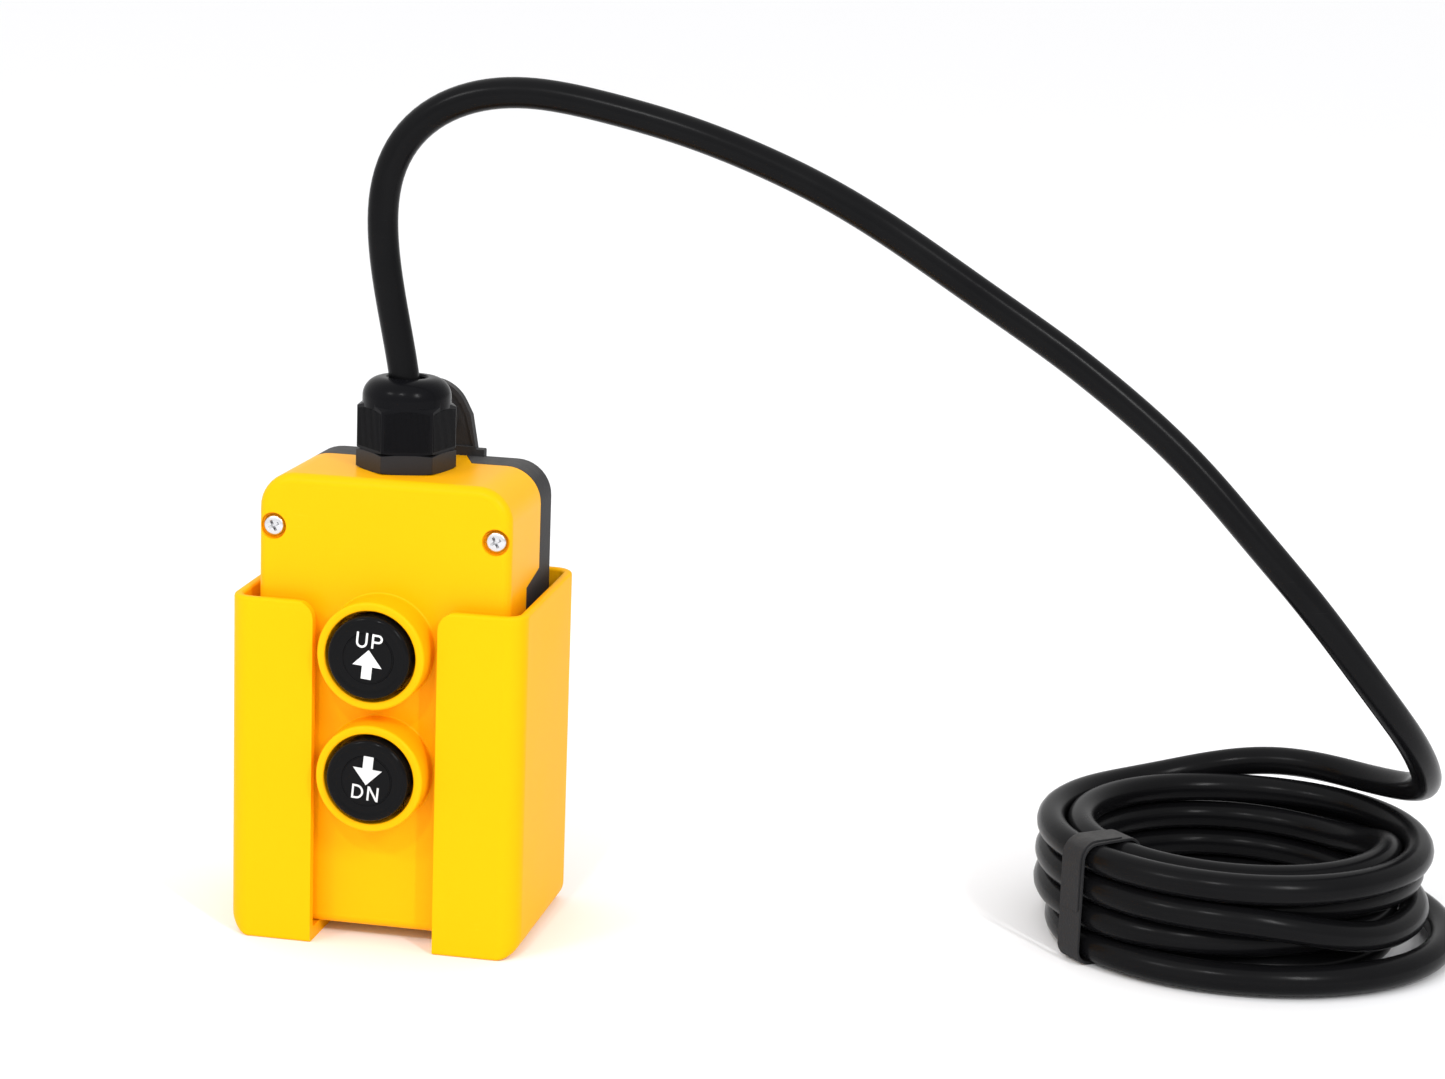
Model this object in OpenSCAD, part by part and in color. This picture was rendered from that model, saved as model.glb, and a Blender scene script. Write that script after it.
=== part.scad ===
// Two-button pendant control station standing in its wall holster, with its cord and a tied coil.
// Origin: middle of the holster and button footprint, on the surface that the holster stands on.
// X runs across the front, the buttons face -Y, and Z is up. Millimetres.

/* [Holster] */
// Height of the holster at its front
holster_h = 97; // [85:1:110]
// How much higher the back of the rim stands than its front
holster_rise = 1.4; // [0:0.2:4]
// Wall of the holster
holster_wall = 2.6; // [2:0.1:3.4]
// Thickness of the holster's floor
holster_floor = 3.6; // [2.5:0.1:6]
// Room between the case's sides and the holster's walls
side_room = 3.4; // [2:0.1:5]
// Room between the case's front and the holster's flaps
front_room = 4.2; // [2:0.1:5]
// Room between the case's back and the holster's back wall
back_room = 3.6; // [2:0.1:5]
// Radius of the holster's upright edges
holster_corner = 6; // [3.5:0.5:8]
// Width of the gap between the two front flaps
front_gap = 35; // [32:1:40]
// How far the gap runs back into the floor
floor_slot = 24; // [10:1:30]
// Distance between the two wall screws
wall_hole_spacing = 50; // [30:1:60]
// Diameter of the wall screw holes
wall_hole_d = 5; // [4:0.5:6]

/* [Pendant case] */
// Width of the case
case_w = 71; // [71:1:86]
// Depth of the whole case
case_d = 47; // [47:1:60]
// Height of the case
case_h = 127; // [120:1:153]
// Wall of the case
case_wall = 2.5; // [2:0.1:3]
// Radius of the case's outline corners
case_corner = 10; // [6:1:12]
// Depth of the yellow half above the step
front_d_upper = 33; // [33:1:34]
// Depth of the yellow half below the step
front_d_lower = 19; // [17:1:21]
// Height of the parting step above the case's bottom
step_z = 96; // [92:1:98]
// Diameter of the screw heads
screw_head_d = 6; // [5:0.5:7]
// Diameter of the screw shanks
screw_d = 3; // [2.5:0.5:3.5]

/* [Buttons] */
// Distance between the two buttons
button_spacing = 34.3; // [32:0.5:38]
// Height of the lower button above the case's bottom
button_z = 46.3; // [40:0.5:48]
// Diameter of a button cap
cap_d = 23; // [19:0.5:26]
// Room between a cap and its collar, all round
cap_room = 1.1; // [0.6:0.1:1.6]
// Wall of a collar
collar_wall = 2.4; // [1.8:0.1:3]
// How far a collar stands out of the case
collar_reach = 10.9; // [8:0.1:12]
// How far a cap stands out of its collar
cap_proud = 2.1; // [1:0.1:3]
// Travel of a button
travel = 3.5; // [2:0.1:4]
// Diameter of a button's stem
stem_d = 8; // [6:0.5:9]

/* [Gland] */
// Width across the flats of the gland
gland_af = 24; // [22:1:27]
// Height of the gland body's hexagon
gland_hex_h = 5.4; // [4:0.2:7]
// Height of the gland nut's hexagon
nut_hex_h = 13; // [11:0.5:15]
// Height of the gland nut's dome
dome_h = 7; // [5:0.5:8]
// Thread diameter of the gland
thread_d = 20; // [18:1:20]
// Turn of the gland's hexagon about its axis, in degrees
gland_turn = 17; // [0:1:30]
// Distance from the case's front to the gland's axis
gland_back = 20.5; // [19:0.5:22]

/* [Cord] */
// Diameter of the cord
cord_d = 8.4; // [7:0.2:8.6]
// Radius of the outer turns of the coil
coil_r = 53; // [50:1:60]
// Turns beside each other in the coil
coil_columns = 2; // [2:1:3]
// Turns on each other in the coil
coil_layers = 4; // [3:1:4]

/* [Hidden] */

$fn = 64;
slip = 0.05;             // radial clearance of what runs in a bore
eps = 0.01;              // overrun of a cut past the face that it opens
cut = 1;                 // longer overrun where nothing is near

// Places along Y, measured from the holster's front face
case_gap = 0.6;          // clearance between the case and the ribs that guide it
case_front = holster_wall + front_room;
holster_w = case_w + 2 * (side_room + holster_wall);
holster_d = case_front + case_d + back_room + holster_wall;
reach = collar_reach + cap_proud - case_front;      // how far the caps pass the holster's front
front_y = -(holster_d - reach) / 2;
back_y = front_y + holster_d;
case_y = front_y + case_front;
case_z = holster_floor;
case_top = case_z + case_h;
slot_corner = 4;

// Screws that join the case's halves
screw_x = case_w / 2 - 4.3;
screw_z = [14.8, case_h - 14.8];
boss_r = 4.3;
head_seat = 2.2;         // depth of the screw head's seat
head_t = 2;
insert_y = [case_d - 13, case_d - 7];
insert_r = screw_d / 2 + 0.75;

// Buttons and switches, along the case's own depth
collar_bore = cap_d + 2 * cap_room;
collar_d = collar_bore + 2 * collar_wall;
button_heights = [button_z + button_spacing, button_z];
collar_floor = -1.5;
cap_front = -collar_reach - cap_proud;
cap_skirt = -6;
guide_end = 8;
clip_t = 0.8;
clip_r = 6;
groove_r = stem_d / 2 - 0.7;
stem_end = 10;
rod_r = 3;
neck_r = 1.8;
bridge_y = 21;
bridge_t = 1;
neck_end = 28;
strip_y = bridge_y + bridge_t + travel + 0.1;
strip_t = 1;
block_y = 14;
block_end = 35;
block_w = 26;
block_h = 24;
block_wall = 2;
ledge_w = 7;
carrier_t = 2;
spigot_r = 2;
post_x = 23;
post_r = 3.6;
carrier_z = (button_heights[0] + button_heights[1]) / 2;
terminal_x = block_w / 2 + ledge_w / 2;
lug_t = 0.8;
lug_rise = 1.3;          // axis of a lug's barrel behind the strip
core_r = 0.95;

// Gland, above the case's top
gland_y = case_y + gland_back;
hex_r = gland_af / 2 / cos(30);
nut_z = case_top + gland_hex_h;
dome_z = nut_z + nut_hex_h;
gland_top = dome_z + dome_h;
thread_r = thread_d / 2;
locknut_h = 5;
locknut_room = 0.4;      // clearance between the locknut and the cover's gasket
jacket_end = 13.5;       // end of the cord's jacket below the case's top
washer_t = 0.8;
seal_r = 6.5;
seal_z = [case_top + 3, nut_z + 9];
dome_hole_r = cord_d / 2 + 1.2;
tongue_w = [30.6, 22];   // width of the yellow tongue at its root and at its end
tongue_end = case_d - 3.5;

// Hanging eye
eye_t = 3.3;
eye_r = 6.5;
eye_z = 10.5;
eye_h = 21.3;

// Cord route, from the gland to where the cord comes to lie on the coil
route = [[0, 0, 150], [0, 0, 153], [-1, 0, 159], [-3, 0, 167], [-5, 0, 177], [-7, 0, 187], [-8, 0, 197],
         [-8, 0, 206], [-6, 0, 215], [-1, 0, 223], [6, 0, 229], [15, 0, 233], [25, 0, 235], [36, 0, 235],
         [48, 0, 233],
         [63, 0, 230], [79, 0, 226], [96, 1, 220], [113, 1, 213], [130, 1, 204], [146, 2, 194],
         [162, 2, 184], [178, 3, 174], [192, 3, 164], [206, 4, 153], [219, 4, 141], [232, 4, 127],
         [246, 6, 112], [258, 11, 97], [269, 19, 82], [278, 30, 69], [283, 43, 58], [285, 57, 50],
         [283, 71, 44], [278, 84, 41], [269, 95, 40]];
lean_points = 12;        // points over which the cord leaves the gland's own plane
coil_pitch = cord_d + 0.1;
tie_t = 0.8;
tie_w = 9;
tie_angle = 222;
coil_x = 232;
coil_y = 57;
coil_z = tie_t;
coil_out = coil_r + cord_d / 2;
coil_in = coil_out - cord_d - coil_pitch * (coil_columns - 1);
coil_h = cord_d + coil_pitch * (coil_layers - 1);
// End of the cord, along the foot of the coil to its plug
end_route = [[294, 58, 5], [293, 70, 5], [289, 82, 5], [283, 93, 5], [275, 103, 6], [265, 111, 6],
             [254, 117, 6], [243, 121, 6]];
plug_start = [243, 121, 6];
plug_turn = 160;         // direction of the plug about Z, in degrees
plug_boot_l = 22;
plug_l = 30;
plug_w = 20;
plug_h = 12;
socket_pitch = 4.4;

// ---- shapes that several pieces use ----

// A rectangle centred on X with round corners, from z = 0 up
module round_rect(w, h, r) {
    union() {
        translate([-w / 2 + r, 0]) square([w - 2 * r, h]);
        translate([-w / 2, r]) square([w, h - 2 * r]);
        for (x = [-w / 2 + r, w / 2 - r], z = [r, h - r]) translate([x, z]) circle(r);
    }
}

// A profile drawn in X and Z, given depth along +Y
module along_y(y0, y1) {
    translate([0, y1, 0]) rotate([90, 0, 0]) linear_extrude(y1 - y0) children();
}

// A round bar along Y, at x and z
module bar_y(r, y0, y1, x = 0, z = 0) {
    translate([x, y1, z]) rotate([90, 0, 0]) cylinder(r = r, h = y1 - y0);
}

// A ring along Y
module ring_y(r_out, r_in, y0, y1, z = 0) {
    difference() {
        bar_y(r_out, y0, y1, 0, z);
        bar_y(r_in, y0 - cut, y1 + cut, 0, z);
    }
}

module in_case() {
    translate([0, case_y, case_z]) children();
}

module at_gland(z) {
    translate([0, gland_y, z]) rotate([0, 0, gland_turn]) children();
}

function unit(v) = v / norm(v);
function heading(p, i) = unit(p[min(i + 1, len(p) - 1)] - p[max(i - 1, 0)]);

// A round tube along a list of points. No stretch of it runs along side.
module tube_along(points, r, sides, side = [0, 1, 0]) {
    n = len(points);
    rings = [for (i = [0 : n - 1])
        let (t = heading(points, i), a = unit(cross(t, side)), b = cross(t, a))
        for (k = [0 : sides - 1]) points[i] + r * (cos(360 * k / sides) * a + sin(360 * k / sides) * b)];
    walls = [for (i = [0 : n - 2], k = [0 : sides - 1])
        let (m = (k + 1) % sides)
        [i * sides + k, i * sides + m, (i + 1) * sides + m, (i + 1) * sides + k]];
    first = [for (k = [sides - 1 : -1 : 0]) k];
    last = [for (k = [0 : sides - 1]) (n - 1) * sides + k];
    polyhedron(rings, concat(walls, [first, last]), convexity = 8);
}

// ---- holster ----

module holster_outline(inset) {
    w = holster_w - 2 * inset;
    d = holster_d - 2 * inset;
    translate([0, front_y + inset]) round_rect(w, d, holster_corner - inset);
}

module holster() {
    rib_top = holster_h - 16;
    rib_x = case_w / 2 + case_gap;
    inner_x = holster_w / 2 - holster_wall;
    color("gold") difference() {
        intersection() {
            union() {
                difference() {
                    linear_extrude(holster_h + holster_rise) holster_outline(0);
                    translate([0, 0, holster_floor]) linear_extrude(holster_h + cut)
                        holster_outline(holster_wall);
                }
                for (s = [-1, 1], y = [front_y + 16, front_y + 42]) {
                    translate([s * (rib_x + inner_x + eps) / 2, y, rib_top / 2 + 1])
                        cube([inner_x + eps - rib_x, 2.4, rib_top - 2], center = true);
                }
                for (x = [-20, 20]) {
                    translate([x - 1.2, case_y + case_d + case_gap, 1])
                        cube([2.4, back_y - holster_wall - case_y - case_d - case_gap + eps, rib_top - 1]);
                }
                for (x = [-24, 21.6]) {
                    translate([x, front_y + holster_wall - eps, 1])
                        cube([2.4, case_front - holster_wall - case_gap + eps, rib_top - 1]);
                }
            }
            along_y(front_y - cut, back_y + cut) round_rect(holster_w, 2 * holster_h, holster_corner);
        }
        // rim that rises towards the back
        translate([-holster_w, 0, 0]) rotate([90, 0, 90]) linear_extrude(2 * holster_w)
            polygon([[front_y - cut, holster_h], [front_y, holster_h], [back_y, holster_h + holster_rise],
                     [back_y + cut, holster_h + holster_rise], [back_y + cut, 2 * holster_h],
                     [front_y - cut, 2 * holster_h]]);
        // gap between the flaps, with round upper corners
        along_y(front_y - cut, front_y + holster_wall + cut) flap_gap();
        translate([-front_gap / 2, front_y - cut, -cut])
            cube([front_gap, floor_slot + cut - slot_corner, 3 * holster_floor]);
        translate([0, 0, -cut]) linear_extrude(holster_floor + 2 * cut) translate([0, front_y])
            round_rect(front_gap, floor_slot, slot_corner);
        for (z = [-1, 1]) {
            bar_y(wall_hole_d / 2, back_y - holster_wall - cut, back_y + cut, 0,
                  holster_h / 2 + z * wall_hole_spacing / 2);
        }
    }
}

module flap_gap() {
    r = 5;
    difference() {
        translate([-front_gap / 2 - r, -cut]) square([front_gap + 2 * r, holster_h + 3 * cut]);
        for (s = [-1, 1]) {
            translate([s * (front_gap / 2 + r) - r, -2 * cut]) square([2 * r, holster_h - r + 2 * cut]);
            translate([s * (front_gap / 2 + r), holster_h - r]) circle(r);
        }
    }
}

// ---- case ----

module case_outline(inset) {
    translate([0, inset]) round_rect(case_w - 2 * inset, case_h - 2 * inset, case_corner - inset);
}

// Everything in front of the parting face, moved back by e
module front_region(e) {
    rise = 2.7;
    translate([-case_w, 0, 0]) rotate([90, 0, 90]) linear_extrude(2 * case_w)
        polygon([[-2 * case_d, -case_h], [front_d_lower + e, -case_h], [front_d_lower + e, step_z - e],
                 [front_d_upper + e, step_z + rise - e], [front_d_upper + e, 2 * case_h],
                 [-2 * case_d, 2 * case_h]]);
}

// Yellow tongue that carries the back of the gland
module tongue_region(e) {
    translate([0, 0, case_h - case_wall - 0.6 - e]) linear_extrude(20)
        polygon([[-tongue_w[0] / 2 - e, front_d_upper - cut], [tongue_w[0] / 2 + e, front_d_upper - cut],
                 [tongue_w[0] / 2 + e, front_d_upper], [tongue_w[1] / 2 + e, tongue_end + e],
                 [-tongue_w[1] / 2 - e, tongue_end + e], [-tongue_w[0] / 2 - e, front_d_upper]]);
}

module front_housing() {
    boss_end = [front_d_lower, front_d_upper];
    color("gold") in_case() difference() {
        union() {
            difference() {
                along_y(0, case_d) case_outline(0);
                along_y(case_wall, case_d + cut) case_outline(case_wall);
                difference() {
                    translate([-case_w, 0, -cut]) cube([2 * case_w, 2 * case_d, 2 * case_h]);
                    front_region(0);
                    tongue_region(0);
                }
            }
            for (s = [-1, 1], i = [0, 1]) {
                intersection() {
                    bar_y(boss_r, case_wall - eps, boss_end[i], s * screw_x, screw_z[i]);
                    along_y(0, case_d) case_outline(eps);
                }
            }
            for (z = button_heights) {
                bar_y(collar_d / 2, -collar_reach, case_wall, 0, z);
                bar_y(stem_d / 2 + 3, case_wall - eps, guide_end, 0, z);
            }
            for (s = [-1, 1]) bar_y(post_r, case_wall - eps, block_end, s * post_x, carrier_z);
        }
        for (s = [-1, 1], z = screw_z) {
            bar_y(screw_head_d / 2 + 0.7, -cut, head_seat, s * screw_x, z);
            bar_y(screw_d / 2 + 0.2, 0, case_d, s * screw_x, z);
        }
        for (z = button_heights) {
            bar_y(collar_bore / 2, -collar_reach - cut, collar_floor, 0, z);
            bar_y(stem_d / 2 + slip, collar_floor - cut, guide_end + cut, 0, z);
        }
        for (s = [-1, 1]) bar_y(1.5, block_end - 9, block_end + cut, s * post_x, carrier_z);
        translate([0, gland_back, case_h - case_wall - cut])
            cylinder(r = thread_r + 0.1, h = case_wall + 2 * cut);
    }
}

module eye_profile() {
    difference() {
        union() {
            polygon([[-14.2, 0], [14.2, 0], [11.9, 11.5], [10.3, 15], [-10.3, 15], [-11.9, 11.5]]);
            intersection() {
                translate([0, eye_h - 11.2]) circle(11.2);
                translate([-12, 11.5]) square([24, eye_h]);
            }
        }
        translate([0, eye_z]) circle(eye_r);
    }
}

module rear_cover() {
    boss_start = [front_d_lower, front_d_upper];
    color("dimgray") in_case() difference() {
        union() {
            difference() {
                along_y(0, case_d) case_outline(0);
                along_y(-cut, case_d - case_wall) case_outline(case_wall);
                front_region(0);
                tongue_region(0.15);
            }
            for (s = [-1, 1], i = [0, 1]) {
                intersection() {
                    bar_y(boss_r, boss_start[i], case_d - case_wall + eps, s * screw_x, screw_z[i]);
                    along_y(0, case_d) case_outline(eps);
                }
            }
            translate([0, 0, case_h]) along_y(case_d - eye_t, case_d) eye_profile();
            translate([-16, case_d - eye_t, case_h - case_wall]) cube([32, eye_t, case_wall + 2]);
        }
        for (s = [-1, 1], z = screw_z) {
            bar_y(screw_d / 2 + 0.2, 0, insert_y[1] + 2, s * screw_x, z);
            bar_y(insert_r, 0, insert_y[1], s * screw_x, z);
        }
    }
}

// Inside of the case, less the screw bosses, drawn inset by a
module inside_outline(a) {
    difference() {
        case_outline(case_wall + a);
        for (s = [-1, 1], z = screw_z) translate([s * screw_x, z]) circle(boss_r + 0.05 + a);
    }
}

module cover_gasket() {
    t = 1.2;
    half = 0.9;
    color("black") in_case() intersection() {
        along_y(case_wall + cut, case_d - case_wall - cut) difference() {
            inside_outline(0);
            inside_outline(t);
        }
        difference() {
            front_region(half);
            front_region(-half);
            translate([0, gland_back, case_h / 2]) cylinder(r = hex_r + locknut_room, h = case_h);
        }
    }
}

// Pan head screw along Y with its head at the front, at y
module screw_y(head_r, head_h, r, length, y, x, z) {
    difference() {
        union() {
            bar_y(head_r, y - head_h, y, x, z);
            bar_y(r, y - eps, y + length, x, z);
        }
        for (a = [0, 90]) {
            translate([x, y - head_h + 0.5, z]) rotate([0, a, 0]) cube([0.7, 2, 3.4], center = true);
        }
    }
}

module housing_screws() {
    color("silver") in_case() {
        for (s = [-1, 1], z = screw_z) {
            screw_y(screw_head_d / 2, head_t, screw_d / 2, insert_y[1] - head_seat,
                    head_seat, s * screw_x, z);
        }
    }
}

module threaded_inserts() {
    color("goldenrod") in_case() {
        for (s = [-1, 1], z = screw_z) {
            difference() {
                bar_y(insert_r - 0.02, insert_y[0], insert_y[1], s * screw_x, z);
                bar_y(screw_d / 2 + 0.02, insert_y[0] - cut, insert_y[1] + cut, s * screw_x, z);
            }
        }
    }
}

// ---- buttons and switches: i is 0 for up and 1 for down ----

module button_cap(i) {
    color([0.1, 0.1, 0.1]) in_case() translate([0, 0, button_heights[i]]) difference() {
        union() {
            bar_y(cap_d / 2, cap_front, cap_skirt);
            bar_y(stem_d / 2, cap_front + 2, stem_end);
        }
        ring_y(cap_d / 2 - 1.8, stem_d / 2, cap_front + 3, cap_skirt + cut);
        ring_y(stem_d / 2 + cut, groove_r, guide_end + slip, guide_end + slip + clip_t);
        ring_y(7.1, 6.8, cap_front - cut, cap_front + 0.25);
    }
}

module seal_ring(i) {
    color("black") in_case() {
        ring_y(6.5, stem_d / 2 + slip, collar_floor - 1.5, collar_floor, button_heights[i]);
    }
}

module retaining_clip(i) {
    color("silver") in_case() translate([0, 0, button_heights[i]]) difference() {
        ring_y(clip_r, groove_r, guide_end + slip, guide_end + slip + clip_t);
        translate([-1.6, 0, -2 * clip_r]) cube([3.2, 2 * clip_r, 2 * clip_r]);
    }
}

module plunger(i) {
    color("white") in_case() translate([0, 0, button_heights[i]]) {
        bar_y(rod_r, stem_end, bridge_y);
        bar_y(neck_r, bridge_y - eps, neck_end);
    }
}

module contact_bridge(i) {
    color("goldenrod") in_case() translate([0, 0, button_heights[i]]) difference() {
        translate([-9, bridge_y, -2.6]) cube([18, bridge_t, 5.2]);
        bar_y(neck_r, bridge_y - cut, bridge_y + bridge_t + cut);
    }
}

module return_spring(i) {
    turns = 6;
    wire = 0.35;
    mean_r = 3;
    start = bridge_y + bridge_t + wire;
    length = block_end - wire - start;
    steps = 10;
    helix = [for (k = [0 : turns * steps])
        [mean_r * cos(360 * k / steps), start + length * k / (turns * steps), mean_r * sin(360 * k / steps)]];
    color("silver") in_case() translate([0, 0, button_heights[i]]) tube_along(helix, wire, 6);
}

module contact_block(i) {
    inner_w = block_w - 2 * block_wall;
    color("ivory") in_case() translate([0, 0, button_heights[i]]) difference() {
        union() {
            translate([-block_w / 2, block_y, -block_h / 2]) cube([block_w, block_end - block_y, block_h]);
            translate([-block_w / 2 - ledge_w, strip_y - 5, -4.5]) cube([block_w + 2 * ledge_w, 5, 9]);
        }
        translate([-inner_w / 2, block_y + block_wall, -block_h / 2 + block_wall])
            cube([inner_w, block_end, block_h - 2 * block_wall]);
        bar_y(rod_r + slip, block_y - cut, block_y + block_wall + cut);
        for (s = [-1, 1]) bar_y(1.5, strip_y - 6, strip_y + cut, s * terminal_x);
        translate([-block_w, strip_y, -3]) cube([2 * block_w, strip_t + 0.02, 6]);
    }
}

module fixed_contacts(i) {
    tip = 5;
    color("goldenrod") in_case() translate([0, 0, button_heights[i]]) {
        for (s = [-1, 1]) {
            difference() {
                translate([s > 0 ? tip : -terminal_x - 3.4, strip_y, -3])
                    cube([terminal_x + 3.4 - tip, strip_t, 6]);
                bar_y(1.55, strip_y - cut, strip_y + strip_t + cut, s * terminal_x);
            }
        }
    }
}

module contact_carrier() {
    w = 2 * post_x + 9;
    h = button_spacing + block_h + 2;
    color("darkgray") in_case() difference() {
        union() {
            translate([-w / 2, block_end, carrier_z - h / 2]) cube([w, carrier_t, h]);
            for (z = button_heights) bar_y(spigot_r, block_end - 2, block_end + eps, 0, z);
        }
        for (s = [-1, 1]) {
            bar_y(1.7, block_end - cut, block_end + carrier_t + cut, s * post_x, carrier_z);
            for (z = button_heights) {
                translate([s * terminal_x - 4, block_end - cut, z - 4.5]) cube([8, 2 * carrier_t, 9]);
            }
        }
    }
}

// Pan head screw along Y with its head at the back
module back_screw(head_r, head_h, r, length, y, x, z) {
    translate([0, y, 0]) mirror([0, 1, 0]) screw_y(head_r, head_h, r, length, 0, x, z);
}

module carrier_screws() {
    color("silver") in_case() {
        for (s = [-1, 1]) back_screw(2.8, 2, 1.5, 10, block_end + carrier_t, s * post_x, carrier_z);
    }
}

module terminal_screws() {
    seat = strip_y + strip_t + lug_t;
    color("silver") in_case() {
        for (s = [-1, 1], z = button_heights) back_screw(2.7, 1.8, 1.45, 6, seat, s * terminal_x, z);
    }
}

module wire_lugs() {
    y = strip_y + strip_t;
    color("silver") in_case() {
        for (s = [-1, 1], z = button_heights) {
            difference() {
                union() {
                    bar_y(2.9, y, y + lug_t, s * terminal_x, z);
                    translate([s * terminal_x - 1.4, y, z + 1.8]) cube([2.8, lug_t, 4.4]);
                    translate([s * terminal_x, y + lug_rise, z + 4.6]) cylinder(r = 1.3, h = 3.6);
                }
                bar_y(1.5, y - cut, y + 3, s * terminal_x, z);
                translate([s * terminal_x, y + lug_rise, z + 5.4]) cylinder(r = core_r + 0.02, h = 4);
            }
        }
    }
}

// Four cores from the end of the jacket down to the terminals
module core_wires() {
    y = strip_y + strip_t + lug_rise;
    top = case_h - jacket_end;
    colours = ["saddlebrown", "royalblue", "black", "seagreen"];
    in_case() {
        for (i = [0, 1], j = [0, 1]) {
            s = 1 - 2 * j;
            x = s * terminal_x;
            z = button_heights[i];
            lane = s * 28.5;
            across = gland_back + 1.6 - 3.2 * i;
            from_gland = [[s * 1.6, across, top], [s * 1.6, across, top - 3],
                          [s * 7, across, top - 8 + 2 * i], [s * 14, y, top - 12 + 4 * i]];
            upper = [[x, y, z + 13], [x, y, z + 9], [x, y, z + 5.6]];
            lower = [[s * 22, y + 1, top - 10], [s * 27, y + 1, top - 14], [lane, y + 1, top - 21],
                     [lane, y + 1, z + 16], [lane - s * 4, y + 1, z + 12.5], [x + s * 1.5, y, z + 11],
                     [x, y, z + 8.5], [x, y, z + 5.6]];
            color(colours[2 * i + j]) tube_along(concat(from_gland, i == 0 ? upper : lower), core_r, 8);
        }
    }
}

// ---- gland ----

module gland_body() {
    color([0.1, 0.1, 0.1]) difference() {
        union() {
            at_gland(case_top) cylinder(r = hex_r, h = gland_hex_h, $fn = 6);
            at_gland(case_top - case_wall - washer_t - locknut_h - 1)
                cylinder(r = thread_r, h = case_wall + washer_t + locknut_h + 1 + eps);
            at_gland(nut_z - eps) cylinder(r = thread_r - 0.5, h = 9);
        }
        at_gland(case_top - 30) cylinder(r = cord_d / 2 + 0.4, h = 60);
        at_gland(seal_z[0]) cylinder(r = seal_r, h = 30);
    }
}

module gland_nut() {
    rim_r = 12.2;
    color([0.1, 0.1, 0.1]) difference() {
        union() {
            at_gland(nut_z) cylinder(r = hex_r, h = nut_hex_h, $fn = 6);
            at_gland(dome_z - eps) intersection() {
                cylinder(r = rim_r, h = dome_h + eps);
                translate([0, 0, dome_h - 9.6]) rotate_extrude() round_top(rim_r, 9.6);
            }
        }
        at_gland(nut_z - cut) cylinder(r = thread_r - 0.45, h = 10 + cut);
        at_gland(nut_z + 9) cylinder(r = seal_r + 1, h = 4);
        at_gland(nut_z) cylinder(r = dome_hole_r, h = 30);
    }
}

// Half outline of a dome: flat on top, round shoulder
module round_top(r, h) {
    shoulder = 5.4;
    union() {
        square([r, h - shoulder]);
        square([r - shoulder, h]);
        translate([r - shoulder, h - shoulder]) intersection() {
            circle(shoulder);
            square(shoulder);
        }
    }
}

module gland_seal() {
    color([0.15, 0.15, 0.15]) difference() {
        at_gland(seal_z[0]) cylinder(r = seal_r - 0.02, h = seal_z[1] - seal_z[0]);
        at_gland(seal_z[0] - cut) cylinder(r = cord_d / 2 + 0.02, h = 30);
    }
}

module gland_washer() {
    color("black") difference() {
        at_gland(case_top - case_wall - washer_t) cylinder(r = thread_r + 2, h = washer_t);
        at_gland(case_top - 10) cylinder(r = thread_r + 0.02, h = 20);
    }
}

module gland_locknut() {
    color([0.12, 0.12, 0.12]) difference() {
        at_gland(case_top - case_wall - washer_t - locknut_h)
            cylinder(r = hex_r, h = locknut_h, $fn = 6);
        at_gland(case_top - 20) cylinder(r = thread_r + 0.02, h = 30);
    }
}

// ---- cord ----

module cord_through_gland() {
    bottom = case_top - jacket_end;
    color([0.08, 0.08, 0.08]) translate([0, gland_y, bottom])
        cylinder(r = cord_d / 2, h = route[0][2] - bottom);
}

module cord_run() {
    in_gland = [for (i = [0 : len(route) - 1])
                route[i] + [0, gland_y * max(0, 1 - i / lean_points), 0]];
    color([0.08, 0.08, 0.08]) tube_along(in_gland, cord_d / 2, 10);
}

module cord_coil() {
    color([0.08, 0.08, 0.08]) translate([coil_x, coil_y, coil_z]) rotate_extrude($fn = 96)
        translate([coil_in, 0]) square([coil_out - coil_in, coil_h]);
}

module coil_tie() {
    gap = 0.05;
    color([0.2, 0.2, 0.2]) translate([coil_x, coil_y, 0]) rotate([0, 0, tie_angle])
        translate([0, tie_w / 2, 0]) rotate([90, 0, 0]) linear_extrude(tie_w) difference() {
            translate([coil_in - 2 - tie_t, 0])
                square([coil_out - coil_in + 2.4 + 2 * tie_t, coil_h + 2 * tie_t + gap]);
            translate([coil_in - 2, coil_z - gap])
                square([coil_out - coil_in + 2.4, coil_h + 2 * gap]);
        }
}

module cord_end() {
    color([0.08, 0.08, 0.08]) tube_along(end_route, cord_d / 2, 10, [0, 0, 1]);
}

module at_plug(forward) {
    translate(plug_start) rotate([0, 0, plug_turn]) translate([forward, 0, 0]) children();
}

module plug_boot() {
    color([0.1, 0.1, 0.1]) at_plug(0) rotate([0, 90, 0])
        cylinder(r1 = cord_d / 2 + 0.6, r2 = 5.9, h = plug_boot_l);
}

module plug_housing() {
    color([0.15, 0.15, 0.15]) difference() {
        union() {
            at_plug(plug_boot_l) translate([0, -plug_w / 2, -plug_h / 2]) cube([plug_l, plug_w, plug_h]);
            at_plug(plug_boot_l + 6) translate([0, -4, plug_h / 2 - eps]) cube([plug_l - 9, 8, 2]);
        }
        for (k = [-1.5 : 1 : 1.5]) {
            at_plug(plug_boot_l + plug_l - 14) translate([0, k * socket_pitch, 0]) rotate([0, 90, 0])
                cylinder(r = 1.6, h = 20);
        }
    }
}

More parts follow.
